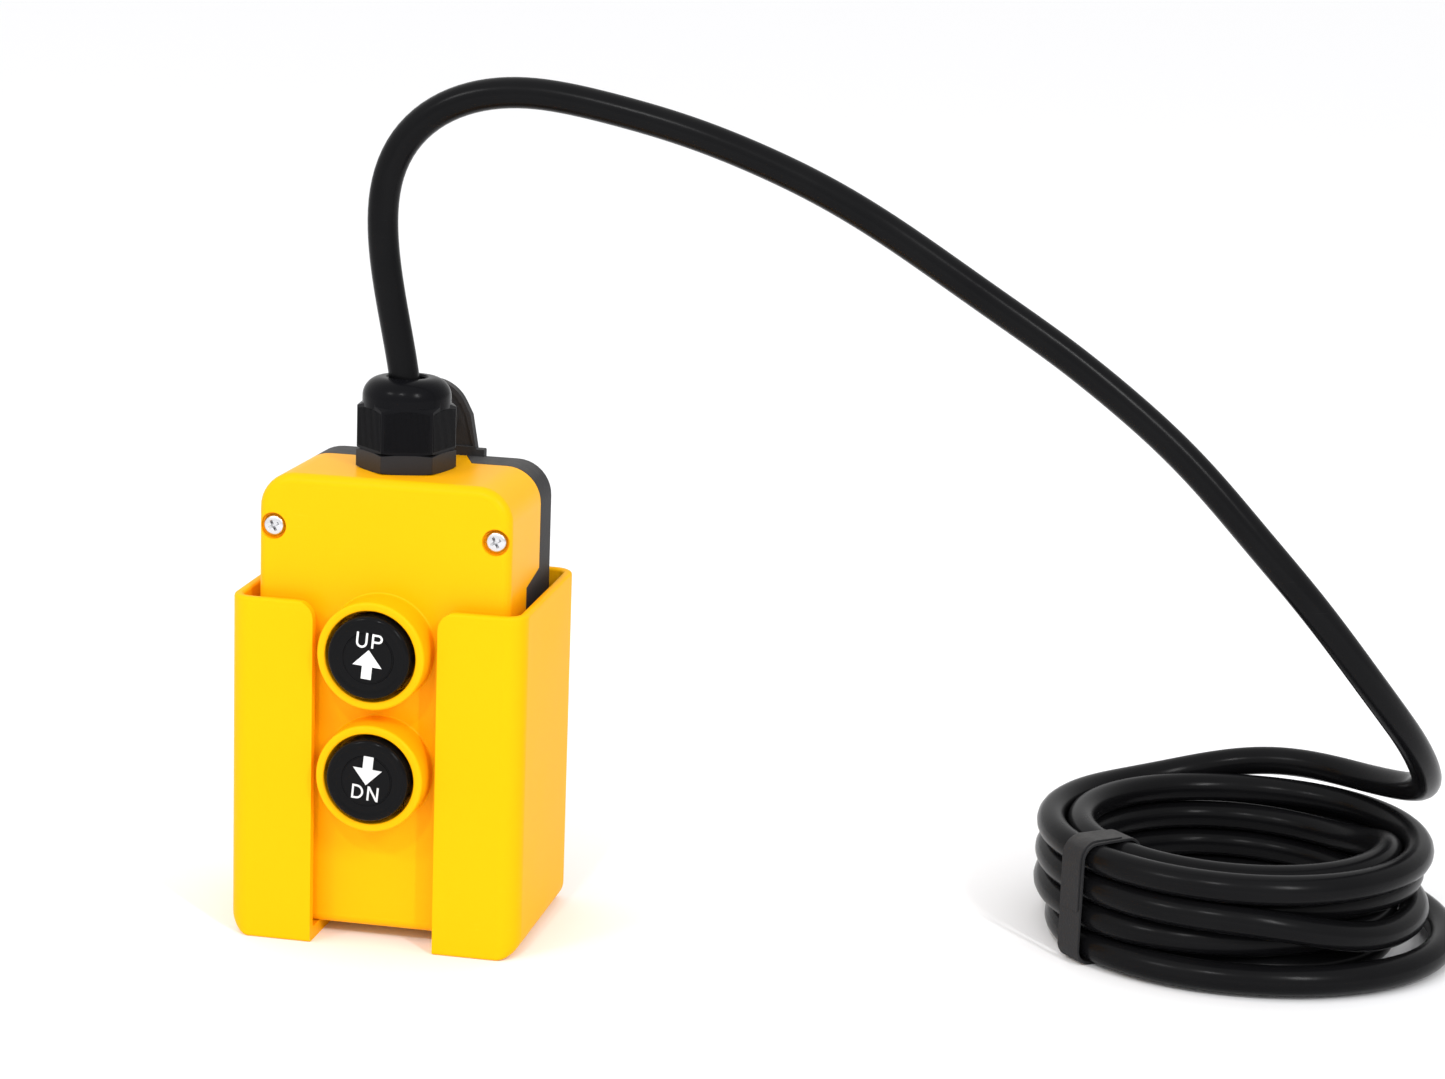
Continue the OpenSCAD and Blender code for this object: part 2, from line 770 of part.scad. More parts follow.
module plug_seal() {
    x = plug_boot_l + plug_l;
    color("orangered") difference() {
        at_plug(x) translate([0, -plug_w / 2 + 1.2, -plug_h / 2 + 1.2])
            cube([1.5, plug_w - 2.4, plug_h - 2.4]);
        for (k = [-1.5 : 1 : 1.5]) {
            at_plug(x - cut) translate([0, k * socket_pitch, 0]) rotate([0, 90, 0]) cylinder(r = 1.6, h = 5);
        }
    }
}

module plug_sockets() {
    color("goldenrod") for (k = [-1.5 : 1 : 1.5]) {
        at_plug(plug_boot_l + plug_l - 14) translate([0, k * socket_pitch, 0]) rotate([0, 90, 0])
        difference() {
            cylinder(r = 1.58, h = 13);
            translate([0, 0, 3]) cylinder(r = 1, h = 20);
        }
    }
}

holster();
front_housing();
rear_cover();
cover_gasket();
housing_screws();
threaded_inserts();
button_cap(0);  // up_cap
button_cap(1);  // down_cap
seal_ring(0);  // up_seal_ring
seal_ring(1);  // down_seal_ring
retaining_clip(0);  // up_retaining_clip
retaining_clip(1);  // down_retaining_clip
plunger(0);  // up_plunger
plunger(1);  // down_plunger
contact_bridge(0);  // up_contact_bridge
contact_bridge(1);  // down_contact_bridge
return_spring(0);  // up_return_spring
return_spring(1);  // down_return_spring
contact_block(0);  // up_contact_block
contact_block(1);  // down_contact_block
fixed_contacts(0);  // up_fixed_contacts
fixed_contacts(1);  // down_fixed_contacts
contact_carrier();
carrier_screws();
terminal_screws();
wire_lugs();
core_wires();
gland_body();
gland_nut();
gland_seal();
gland_washer();
gland_locknut();
cord_through_gland();
cord_run();
cord_coil();
coil_tie();
cord_end();
plug_boot();
plug_housing();
plug_seal();
plug_sockets();
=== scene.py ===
# %% [markdown]
# # A two-button pendant in its wall holster
# The pendant is a yellow moulded case with a dark rear cover, two round push buttons in
# collars, and a cable gland on its top. It stands in an open yellow holster. Its black cord
# arches over to the right and ends in a tied coil with a small plug.
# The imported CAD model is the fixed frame: every piece here takes its place from it.

# %% Load the frame
import math

import bmesh
import bpy
from mathutils import Matrix, Vector


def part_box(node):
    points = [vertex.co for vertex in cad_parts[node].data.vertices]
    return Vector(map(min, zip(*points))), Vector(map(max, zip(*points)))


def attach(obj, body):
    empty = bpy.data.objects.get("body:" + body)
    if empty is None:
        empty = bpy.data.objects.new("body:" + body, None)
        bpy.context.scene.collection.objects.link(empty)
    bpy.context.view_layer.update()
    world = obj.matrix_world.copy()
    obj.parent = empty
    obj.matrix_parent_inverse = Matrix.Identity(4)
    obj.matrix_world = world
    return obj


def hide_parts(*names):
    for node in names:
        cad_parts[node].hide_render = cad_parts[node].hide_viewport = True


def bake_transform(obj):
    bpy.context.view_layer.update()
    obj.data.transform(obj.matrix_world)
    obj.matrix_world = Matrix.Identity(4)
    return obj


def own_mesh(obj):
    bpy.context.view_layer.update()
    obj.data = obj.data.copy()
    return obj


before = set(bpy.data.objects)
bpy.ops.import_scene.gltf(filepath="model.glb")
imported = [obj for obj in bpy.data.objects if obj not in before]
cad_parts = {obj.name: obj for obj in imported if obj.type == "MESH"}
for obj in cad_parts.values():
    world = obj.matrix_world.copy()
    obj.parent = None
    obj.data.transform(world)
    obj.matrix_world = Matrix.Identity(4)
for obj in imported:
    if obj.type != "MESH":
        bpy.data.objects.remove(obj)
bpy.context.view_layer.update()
MM = 0.001


# %% [markdown]
# Plastic mouldings are drawn in millimetres, so the helpers below work in millimetres too.
# `solid`, `move` and `soften` turn them into metres. Boxes of CAD nodes come back in millimetres.

# %% Places taken from the frame
def box_mm(node):
    """Lowest and highest corner of a CAD node, in millimetres."""
    low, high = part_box(node)
    return low / MM, high / MM


holster_low, holster_high = box_mm("holster")
case_low, case_high = box_mm("rear_cover")
CASE_W = case_high.x - case_low.x
CASE_Z = case_low.z
CASE_BACK = case_high.y
CASE_D = 47.0
CASE_Y = CASE_BACK - CASE_D
NECK_H, HEX_H = 8.99, 5.4  # the gland body's neck, and the hexagon under it
CASE_TOP = box_mm("gland_body")[1].z - NECK_H - HEX_H
CASE_H = CASE_TOP - CASE_Z
BUTTON_Z = {name: sum(c.z for c in box_mm(name + "_cap")) / 2 for name in ("up", "down")}
CAP_FRONT = box_mm("up_cap")[0].y
print("case", round(CASE_W, 2), "x", CASE_D, "x", round(CASE_H, 2), "at y", round(CASE_Y, 2))
print("buttons at", {k: round(v, 2) for k, v in BUTTON_Z.items()}, "front", round(CAP_FRONT, 2))


# %% [markdown]
# ## Camera
# The station is seen from a little to its right and above, with a long lens, so its upright
# edges stay nearly parallel. The camera is built from three turns and one offset.

# %% Camera
def add_object(name, data):
    """A new object in the scene."""
    made = bpy.data.objects.new(name, data)
    bpy.context.scene.collection.objects.link(made)
    return made


SENSOR = 36.0
LENS = 74.51
YAW, PITCH, ROLL = 0.177, 0.212, 0.039
OFFSET = Vector((-97.351, 113.075, 826.45))  # right, down and ahead of the lens to the anchor, mm
ANCHOR_Y = holster_low.y                     # the anchor lies in the plane of the holster's front

right = Vector((math.cos(YAW), math.sin(YAW), 0))
ahead = Vector((-math.cos(PITCH) * math.sin(YAW), math.cos(PITCH) * math.cos(YAW), -math.sin(PITCH)))
down = ahead.cross(right)
right, down = (math.cos(ROLL) * right - math.sin(ROLL) * down,
               math.sin(ROLL) * right + math.cos(ROLL) * down)
lens_at = -(right * OFFSET.x + down * OFFSET.y + ahead * OFFSET.z) + Vector((0, ANCHOR_Y, 0))
camera = add_object("camera", bpy.data.cameras.new("camera"))
camera.data.lens = LENS
camera.data.sensor_width = SENSOR
camera.data.clip_end = 100
turn = Matrix((right, -down, -ahead)).transposed()
camera.matrix_world = Matrix.Translation(lens_at * MM) @ turn.to_4x4()
bpy.context.scene.camera = camera
print("camera at", lens_at)


# %% [markdown]
# ## Mesh helpers
# Most pieces are a loft, a turned profile or an extruded outline. Cuts are exact booleans,
# and a bevel then rounds every edge that is still sharp, as a mould's edges are.
# Each modifier is turned into plain mesh at once, so that every piece ends as one clean mesh.

# %% From points to a mesh object
def arc(centre, radius, start, stop, steps):
    """Points of an arc between two angles in degrees."""
    angles = [math.radians(start + (stop - start) * k / steps) for k in range(steps + 1)]
    return [(centre[0] + radius * math.cos(a), centre[1] + radius * math.sin(a)) for a in angles]


def quarter(steps):
    """Sines and cosines over a quarter turn, for rounded edges."""
    angles = [math.radians(90 * k / steps) for k in range(steps + 1)]
    return [(math.sin(a), math.cos(a)) for a in angles]


def solid(name, points, faces, place=None):
    """A closed mesh object from points in millimetres, with its faces outward."""
    bm = bmesh.new()
    verts = [bm.verts.new(Vector(p)) for p in points]
    for face in faces:
        bm.faces.new([verts[i] for i in face])
    bmesh.ops.remove_doubles(bm, verts=bm.verts, dist=1e-4)
    bmesh.ops.dissolve_degenerate(bm, edges=bm.edges, dist=1e-5)
    if place is not None:
        bm.transform(place)
    bm.normal_update()
    bmesh.ops.recalc_face_normals(bm, faces=bm.faces)
    bm.transform(Matrix.Scale(MM, 4))
    mesh = bpy.data.meshes.new(name)
    bm.to_mesh(mesh)
    bm.free()
    return add_object(name, mesh)


def loft(name, rings, place=None, ring_closed=False):
    """Rings of equal length joined in order. The ends are capped, or the last ring meets the first."""
    count = len(rings[0])
    points = [p for ring in rings for p in ring]
    last = len(rings) if ring_closed else len(rings) - 1
    faces = []
    for i in range(last):
        a, b = i * count, (i + 1) % len(rings) * count
        faces += [(a + k, a + (k + 1) % count, b + (k + 1) % count, b + k) for k in range(count)]
    if not ring_closed:
        faces += [tuple(range(count))[::-1], tuple(range(len(points) - count, len(points)))]
    return solid(name, points, faces, place)


def turned(name, profile, place=None, steps=64):
    """A profile of (radius, height) turned about Z. A profile that starts off the axis is a ring."""
    rings = [[(r * math.cos(2 * math.pi * k / steps), r * math.sin(2 * math.pi * k / steps), h)
              for k in range(steps)] for r, h in profile]
    return loft(name, rings, place, ring_closed=profile[0][0] > 0)


def rod(name, radius, low, high, place=None, steps=32):
    """A plain round rod, from height low to high along Z."""
    return turned(name, [(0, low), (radius, low), (radius, high), (0, high)], place, steps)


def extruded(name, outline, low, high, place=None):
    """An outline of (x, y) points, from height low to high along Z."""
    return loft(name, [[(x, y, low) for x, y in outline], [(x, y, high) for x, y in outline]], place)


# Turns a shape drawn on Z so that its Z runs along +Y and its Y runs up, at a given place
def facing(x=0.0, y=0.0, z=0.0):
    return Matrix.Translation((x, y, z)) @ Matrix(((1, 0, 0, 0), (0, 0, 1, 0), (0, 1, 0, 0), (0, 0, 0, 1)))


def block(name, low, high):
    outline = [(low[0], low[1]), (high[0], low[1]), (high[0], high[1]), (low[0], high[1])]
    return extruded(name, outline, low[2], high[2])


def move(piece, place):
    """Moves a piece's mesh by a place in millimetres. A mirrored mesh gets its faces turned outward."""
    piece.data.transform(Matrix.Scale(MM, 4) @ place @ Matrix.Scale(1 / MM, 4))
    if place.determinant() < 0:
        piece.data.flip_normals()
    return piece


# %% Cutting, joining and softening
def settle(piece):
    """Turns the piece's modifiers into plain mesh."""
    graph = bpy.context.evaluated_depsgraph_get()
    piece.data = bpy.data.meshes.new_from_object(piece.evaluated_get(graph), depsgraph=graph)
    piece.modifiers.clear()
    return piece


def carve(base, tool, operation="DIFFERENCE"):
    """Cuts the tool out of the base, or joins it on with UNION, and removes the tool."""
    step = base.modifiers.new("carve", "BOOLEAN")
    step.operation, step.solver, step.object = operation, "EXACT", tool
    settle(base)
    bpy.data.objects.remove(tool)
    return base


def add_to(base, tool):
    return carve(base, tool, "UNION")


def soften(piece, width, segments=2, angle=38):
    """Rounds every edge sharper than the angle by a width in millimetres."""
    step = piece.modifiers.new("soften", "BEVEL")
    step.width, step.segments = width * MM, segments
    step.limit_method, step.angle_limit = "ANGLE", math.radians(angle)
    step.use_clamp_overlap = True
    return settle(piece)


def join(name, parts):
    """One object from several, each of which stays a closed shell of its own."""
    bm = bmesh.new()
    for part in parts:
        bm.from_mesh(part.data)
        bpy.data.objects.remove(part)
    mesh = bpy.data.meshes.new(name)
    bm.to_mesh(mesh)
    bm.free()
    return add_object(name, mesh)


def finish_piece(piece, material, body, replaces=(), angle=40):
    """Shades the piece, gives it its material, and ties it to its body."""
    piece.data.materials.clear()
    piece.data.materials.append(material)
    piece.data.shade_smooth()
    piece.data.set_sharp_from_angle(angle=math.radians(angle))
    step = piece.modifiers.new("flat faces stay flat", "WEIGHTED_NORMAL")
    step.keep_sharp = True
    settle(piece)
    if replaces:
        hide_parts(*replaces)
    if body:
        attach(piece, body)
    print(piece.name, len(piece.data.polygons), "faces")
    return piece


# %% [markdown]
# ## Shared effects
# Every moulding has a fine grain from its mould and a faint unevenness in its gloss, and
# handled parts carry small rubs. These three effects are node groups: each takes the place
# on the piece and a few values, and puts out a height or a mask.
# The shaders themselves stay in each material.

# %% Node helpers
def feed(tree, value, target):
    """Links a socket to the target, or gives the target a plain value."""
    if isinstance(value, bpy.types.NodeSocket):
        tree.links.new(value, target)
    else:
        target.default_value = value


def add_node(tree, kind, **settings):
    """A node. Inputs get a socket or a value by name, and properties have a leading underscore."""
    node = tree.nodes.new(kind)
    for key, value in settings.items():
        if key.startswith("_"):
            setattr(node, key[1:], value)
        else:
            feed(tree, value, node.inputs[key.replace("_", " ")])
    return node


def calc(tree, operation, *values, clamp=False):
    """A math node. Its values are sockets or numbers."""
    node = add_node(tree, "ShaderNodeMath", _operation=operation, _use_clamp=clamp)
    for value, target in zip(values, node.inputs):
        feed(tree, value, target)
    return node.outputs[0]


def span(tree, value, from_low, from_high, to_low=0.0, to_high=1.0):
    """Maps a value from one range to another, and holds it inside that range."""
    node = add_node(tree, "ShaderNodeMapRange", Value=value, From_Min=from_low, From_Max=from_high,
                    To_Min=to_low, To_Max=to_high)
    return node.outputs["Result"]


def start_group(name, inputs, outputs, kind="ShaderNodeTree"):
    """A node group with named sockets. Returns the tree, its input node and its output node."""
    tree = bpy.data.node_groups.new(name, kind)
    for label, socket, value in inputs:
        made = tree.interface.new_socket(name=label, in_out="INPUT", socket_type=socket)
        if value is not None:
            made.default_value = value
    for label, socket in outputs:
        tree.interface.new_socket(name=label, in_out="OUTPUT", socket_type=socket)
    return tree, tree.nodes.new("NodeGroupInput"), tree.nodes.new("NodeGroupOutput")


FLOAT, VECTOR = "NodeSocketFloat", "NodeSocketVector"


def mix_colours(tree, factor, first, second):
    """A colour mix. Colours are sockets, or red, green and blue."""
    mix = add_node(tree, "ShaderNodeMix", _data_type="RGBA")
    feed(tree, factor, mix.inputs[0])
    for value, target in ((first, mix.inputs[6]), (second, mix.inputs[7])):
        feed(tree, value if isinstance(value, bpy.types.NodeSocket) else (*value, 1), target)
    return mix.outputs[2]


# %% Mould grain: a fine pebbled height, and slow patches
def make_mould_grain():
    tree, given, out = start_group(
        "mould_grain",
        [("Place", VECTOR, None), ("Grain size", FLOAT, 900.0), ("Patch size", FLOAT, 30.0)],
        [("Height", FLOAT), ("Patches", FLOAT)])
    place, grain = given.outputs["Place"], given.outputs["Grain size"]
    fine = add_node(tree, "ShaderNodeTexNoise", Vector=place, Scale=grain, Detail=3.0, Roughness=0.6)
    pits = add_node(tree, "ShaderNodeTexVoronoi", _feature="SMOOTH_F1", Vector=place, Scale=grain)
    slow = add_node(tree, "ShaderNodeTexNoise", Vector=place, Scale=given.outputs["Patch size"], Detail=2.0)
    feed(tree, calc(tree, "ADD", fine.outputs["Fac"], pits.outputs["Distance"]), out.inputs["Height"])
    feed(tree, slow.outputs["Fac"], out.inputs["Patches"])
    return tree


mould_grain = make_mould_grain()


# %% Rubs: sparse fine scratches, stretched along one direction
def make_rubs():
    tree, given, out = start_group(
        "rubs",
        [("Place", VECTOR, None), ("Scale", FLOAT, 120.0), ("Cover", FLOAT, 0.5)],
        [("Mask", FLOAT)])
    place = given.outputs["Place"]
    stretch = add_node(tree, "ShaderNodeMapping", _vector_type="POINT", Vector=place,
                       Rotation=(0.4, 0.9, 0.3), Scale=(1.0, 1.0, 9.0))
    lines = add_node(tree, "ShaderNodeTexNoise", Vector=stretch.outputs[0],
                     Scale=given.outputs["Scale"], Detail=4.0, Roughness=0.7)
    where = add_node(tree, "ShaderNodeTexNoise", Vector=place, Scale=18.0, Detail=1.0)
    sharp = span(tree, lines.outputs["Fac"], 0.62, 0.72)
    zone = span(tree, where.outputs["Fac"], 0.45, 0.7)
    both = calc(tree, "MULTIPLY", sharp, zone)
    feed(tree, calc(tree, "MULTIPLY", both, given.outputs["Cover"]), out.inputs["Mask"])
    return tree


rubs = make_rubs()


# %% Dust: a little grey on faces that look up
def make_dust():
    tree, given, out = start_group(
        "dust", [("Place", VECTOR, None), ("Amount", FLOAT, 0.1)], [("Mask", FLOAT)])
    normal = add_node(tree, "ShaderNodeNewGeometry").outputs["Normal"]
    split = add_node(tree, "ShaderNodeSeparateXYZ", Vector=normal)
    specks = add_node(tree, "ShaderNodeTexNoise", Vector=given.outputs["Place"], Scale=260.0,
                      Detail=4.0, Roughness=0.7)
    lying = calc(tree, "MULTIPLY", span(tree, split.outputs["Z"], 0.6, 1.0), specks.outputs["Fac"])
    feed(tree, calc(tree, "MULTIPLY", lying, given.outputs["Amount"]), out.inputs["Mask"])
    return tree


dust = make_dust()


# %% One recipe for moulded plastics, with its own numbers for each
def moulded(name, colour, tint, rough, grain, grain_size=900.0, rub=0.3, rub_colour=None, dusty=0.0,
            shine=0.5, patch_size=30.0, metal=0.0):
    """A moulded finish: colour to tint in slow patches, grain as bump, rubs that dull it.
    shine is how much a face seen straight on reflects. Grazing faces always reflect."""
    material = bpy.data.materials.new(name)
    material.use_nodes = True
    tree = material.node_tree
    tree.nodes.clear()
    place = add_node(tree, "ShaderNodeTexCoord").outputs["Object"]
    pebbles = add_node(tree, "ShaderNodeGroup", _node_tree=mould_grain, Place=place,
                       Grain_size=grain_size, Patch_size=patch_size)
    patches = pebbles.outputs["Patches"]
    rubbed = add_node(tree, "ShaderNodeGroup", _node_tree=rubs, Place=place, Cover=rub).outputs["Mask"]
    paint = mix_colours(tree, patches, colour, tint)
    paint = mix_colours(tree, rubbed, paint, rub_colour or tint)
    if dusty:
        grey = add_node(tree, "ShaderNodeGroup", _node_tree=dust, Place=place, Amount=dusty)
        paint = mix_colours(tree, grey.outputs["Mask"], paint, (0.6, 0.58, 0.55))
    gloss = span(tree, patches, 0.0, 1.0, rough - 0.05, rough + 0.05)
    bump = add_node(tree, "ShaderNodeBump", Distance=0.0001, Strength=grain, Height=pebbles.outputs["Height"])
    surface = add_node(
        tree, "ShaderNodeBsdfPrincipled", Base_Color=paint, Normal=bump.outputs[0], Metallic=metal,
        Roughness=calc(tree, "MULTIPLY_ADD", rubbed, 0.3, gloss, clamp=True), Specular_IOR_Level=shine)
    add_node(tree, "ShaderNodeOutputMaterial", Surface=surface.outputs[0])
    return material


# %% [markdown]
# ## The finishes
# The holster and the case are the same kind of tough yellow plastic. The holster is a touch
# more matt. The rear cover is dark, with a coarse spark-eroded grain. The gland is glossy
# nylon, the caps are satin, and the cord's jacket is smooth and shiny.

# %% Finishes
finishes = {}


def finish(name, *numbers, **others):
    finishes[name] = moulded(name, *numbers, **others)


finish("holster_yellow", (0.98, 0.455, 0.002), (1.0, 0.475, 0.003), 0.42, 0.10, rub=0.2,
       rub_colour=(1.0, 0.62, 0.03), grain_size=1400.0, shine=0.04)
finish("housing_yellow", (0.98, 0.445, 0.002), (1.0, 0.465, 0.003), 0.34, 0.08, rub=0.2,
       rub_colour=(1.0, 0.60, 0.03), grain_size=1400.0, shine=0.05)
finish("cover_black", (0.022, 0.021, 0.022), (0.032, 0.031, 0.032), 0.62, 0.55, grain_size=1000.0,
       rub=0.35, rub_colour=(0.06, 0.06, 0.06), dusty=0.12, shine=0.2)
finish("gland_black", (0.003, 0.003, 0.004), (0.005, 0.005, 0.006), 0.22, 0.05, rub=0.2,
       rub_colour=(0.01, 0.01, 0.011), shine=0.06)
finish("gland_base_black", (0.013, 0.012, 0.013), (0.019, 0.018, 0.019), 0.42, 0.15, rub=0.3,
       rub_colour=(0.04, 0.038, 0.035), shine=0.2)
finish("cap_black", (0.004, 0.004, 0.0045), (0.006, 0.006, 0.0065), 0.16, 0.08, grain_size=1500.0,
       rub=0.3, rub_colour=(0.015, 0.015, 0.017), shine=0.07)
finish("rubber_black", (0.012, 0.012, 0.012), (0.02, 0.02, 0.02), 0.7, 0.3, dusty=0.1, shine=0.2)
finish("legend_white", (0.80, 0.80, 0.79), (0.86, 0.86, 0.85), 0.5, 0.2, rub=0.5,
       rub_colour=(0.5, 0.5, 0.5))
finish("legend_grey", (0.66, 0.66, 0.66), (0.72, 0.72, 0.72), 0.5, 0.2, rub=0.5,
       rub_colour=(0.4, 0.4, 0.4))
finish("zinc_steel", (0.62, 0.62, 0.63), (0.72, 0.72, 0.74), 0.24, 0.2, rub=0.6,
       rub_colour=(0.35, 0.34, 0.33), grain_size=700.0, patch_size=220.0, metal=1.0)
finish("brass", (0.70, 0.48, 0.16), (0.78, 0.56, 0.22), 0.28, 0.2, rub=0.6,
       rub_colour=(0.42, 0.26, 0.08), patch_size=160.0, metal=1.0)
finish("block_ivory", (0.74, 0.68, 0.52), (0.80, 0.75, 0.60), 0.45, 0.3)
finish("plunger_white", (0.80, 0.80, 0.78), (0.86, 0.86, 0.84), 0.4, 0.2)
finish("carrier_grey", (0.30, 0.31, 0.32), (0.36, 0.37, 0.38), 0.5, 0.3)
finish("cord_jacket", (0.0035, 0.0035, 0.004), (0.006, 0.006, 0.0065), 0.24, 0.14,
       grain_size=500.0, rub=0.2, rub_colour=(0.02, 0.02, 0.02), patch_size=60.0, shine=0.07)
finish("tie_black", (0.014, 0.014, 0.015), (0.026, 0.026, 0.028), 0.7, 0.9, grain_size=1600.0,
       dusty=0.1, shine=0.2)
finish("plug_black", (0.016, 0.016, 0.017), (0.024, 0.024, 0.025), 0.48, 0.3, shine=0.25)
finish("seal_orange", (0.72, 0.13, 0.02), (0.80, 0.17, 0.03), 0.5, 0.2)
print(len(finishes), "finishes")


# %% [markdown]
# The four cores have four colours on one CAD node, and each core keeps to its own side and
# depth. The colour is picked by the core's place: left or right, and upper or lower run.

# %% Core insulation
CORE_SPLIT_D = 28.35  # the two upper cores run behind this depth of the case


def make_core_insulation():
    base = moulded("core_insulation", (0.2, 0.08, 0.03), (0.23, 0.1, 0.04), 0.4, 0.15, rub=0.1)
    tree = base.node_tree
    surface = next(n for n in tree.nodes if n.type == "BSDF_PRINCIPLED")
    place = next(n for n in tree.nodes if n.type == "TEX_COORD")
    split = add_node(tree, "ShaderNodeSeparateXYZ", Vector=place.outputs["Object"])
    side = calc(tree, "GREATER_THAN", split.outputs["X"], 0.0)
    deep = calc(tree, "GREATER_THAN", split.outputs["Y"], (CASE_Y + CORE_SPLIT_D) * MM)
    warm = mix_colours(tree, side, (0.02, 0.08, 0.42), (0.20, 0.07, 0.03))
    cool = mix_colours(tree, side, (0.03, 0.30, 0.10), (0.02, 0.02, 0.02))
    feed(tree, mix_colours(tree, deep, warm, cool), surface.inputs["Base Color"])
    return base


finishes["core_insulation"] = make_core_insulation()

# %% [markdown]
# ## Cord
# The cord is 8.4 mm thick, with a smooth jacket, and stiff enough to stand up out of the
# gland in one wide arch. It comes down on a coil of two columns and four layers, held by a
# strap, and its end runs along the coil's foot to the plug.
# Its route is the CAD route, made smooth. The coil is worked out by a loop: the cord goes
# round, and at set angles it steps inward, outward or down one place.

# %% The route's points, in millimetres
CORD_D = 8.4
GLAND_Y = sum(c.y for c in box_mm("gland_washer")) / 2
LEAN_POINTS = 12
RUN = [(0, 0, 150), (0, 0, 153), (-1, 0, 159), (-3, 0, 167), (-5, 0, 177), (-7, 0, 187), (-8, 0, 197),
       (-8, 0, 206), (-6, 0, 215), (-1, 0, 223), (6, 0, 229), (15, 0, 233), (25, 0, 235), (36, 0, 235),
       (48, 0, 233), (63, 0, 230), (79, 0, 226), (96, 1, 220), (113, 1, 213), (130, 1, 204),
       (146, 2, 194), (162, 2, 184), (178, 3, 174), (192, 3, 164), (206, 4, 153), (219, 4, 141),
       (232, 4, 127), (246, 6, 112), (258, 11, 97), (269, 19, 82), (278, 30, 69), (283, 43, 58),
       (285, 57, 50), (283, 71, 44)]
END = [(294, 58, 5), (293, 70, 5), (289, 82, 5), (283, 93, 5), (275, 103, 6), (265, 111, 6),
       (254, 117, 6), (243, 121, 6)]
run_points = [Vector((x, y + GLAND_Y * max(0, 1 - i / LEAN_POINTS), z)) for i, (x, y, z) in enumerate(RUN)]
end_points = [Vector(p) for p in END]

# %% The coil's turns
COIL = Vector((232, 57, 0))
OUTER_R = 53.0
STEP = 8.5           # from one turn to the next, beside it or under it
TOP_Z = 39.0         # where the cord lies on the coil's top
COIL_STEPS = [       # (first angle, last angle, move outward in places, move down in places)
    (70, 130, 0, 1), (380, 470, -1, 0), (710, 770, 0, 1), (1020, 1110, 1, 0), (1350, 1410, 0, 1),
    (1660, 1750, -1, 0), (1990, 2050, 0, 1), (2300, 2390, 1, 0), (2431, 2521, 1, 0)]
COIL_START, COIL_END, TURN_STEP = 46, 2515, 5


def eased(angle, first, last):
    """0 before first, 1 after last, and a half cosine between."""
    share = min(1.0, max(0.0, (angle - first) / (last - first)))
    return (1 - math.cos(math.pi * share)) / 2


def coil_point(angle):
    out = sum(eased(angle, a, b) * shift for a, b, shift, _ in COIL_STEPS)
    low = sum(eased(angle, a, b) * drop for a, b, _, drop in COIL_STEPS)
    radius, turned_by = OUTER_R + STEP * out, math.radians(angle)
    return COIL + Vector((radius * math.cos(turned_by), radius * math.sin(turned_by), TOP_Z - STEP * low))


coil_points = [coil_point(a) for a in range(COIL_START, COIL_END, TURN_STEP)]


# %% One smooth line through all the points
def smooth_line(points, spacing):
    """A curve through the points, resampled at an even spacing."""
    dense = []
    for i in range(len(points) - 1):
        before, here = points[max(i - 1, 0)], points[i]
        there, after = points[i + 1], points[min(i + 2, len(points) - 1)]
        for k in range(8):
            t = k / 8
            bend = 2 * before - 5 * here + 4 * there - after
            swing = 3 * here - before - 3 * there + after
            dense.append(0.5 * (2 * here + (there - before) * t + bend * t * t + swing * t ** 3))
    dense.append(points[-1])
    even, left = [dense[0]], spacing
    for a, b in zip(dense, dense[1:]):
        length, done = (b - a).length, 0.0
        while length - done >= left:
            done += left
            even.append(a + (b - a) * (done / length))
            left = spacing
        left -= length - done
    return even + [points[-1]]


def relaxed(points, rounds):
    """Evens out small kinks, with both ends held."""
    for _ in range(rounds):
        points = ([points[0]] + [(a + 2 * b + c) / 4 for a, b, c in zip(points, points[1:], points[2:])]
                  + [points[-1]])
    return points


cord_line = relaxed(smooth_line(run_points + coil_points + end_points, 2.6), 24)


# %% A round tube along a line
def tube(name, line, radius, sides=18):
    """A tube that doesn't twist: each ring is turned only as the line turns."""
    last = len(line) - 1
    headings = [(line[min(i + 1, last)] - line[max(i - 1, 0)]).normalized() for i in range(len(line))]
    side = headings[0].orthogonal().normalized()
    rings = []
    for i, point in enumerate(line):
        if i:
            side = headings[i - 1].rotation_difference(headings[i]) @ side
        across = headings[i].cross(side)
        rings.append([point + radius * (math.cos(2 * math.pi * k / sides) * side
                                        + math.sin(2 * math.pi * k / sides) * across)
                      for k in range(sides)])
    return loft(name, rings)


cord = tube("cord", cord_line, CORD_D / 2)
cord.data.materials.append(finishes["cord_jacket"])
cord.data.shade_smooth()
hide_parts("cord_run", "cord_coil", "cord_end")
print("cord", len(cord.data.polygons), "faces")


# %% [markdown]
# ## Strap and plug
# A hook-and-loop strap holds the coil. The plug is a small sealed connector: a ribbed boot on
# the cord, a housing with a latch and side ribs, an orange face seal and four sockets. The
# boot's ribs repeat and shrink, so Geometry Nodes make them.

# %% Geometry Nodes helpers
def run_tree(tree, name, values):
    """Puts the tree on an empty mesh, sets its inputs by identifier, and keeps the resulting mesh."""
    piece = add_object(name, bpy.data.meshes.new(name))
    step = piece.modifiers.new(name, "NODES")
    step.node_group = tree
    sockets = {s.name: s.identifier for s in tree.interface.items_tree if s.in_out == "INPUT"}
    for label, value in values.items():
        step[sockets[label]] = value
    return settle(piece)


GEOMETRY, OBJECT, INTEGER = "NodeSocketGeometry", "NodeSocketObject", "NodeSocketInt"
FINISH = "NodeSocketMaterial"


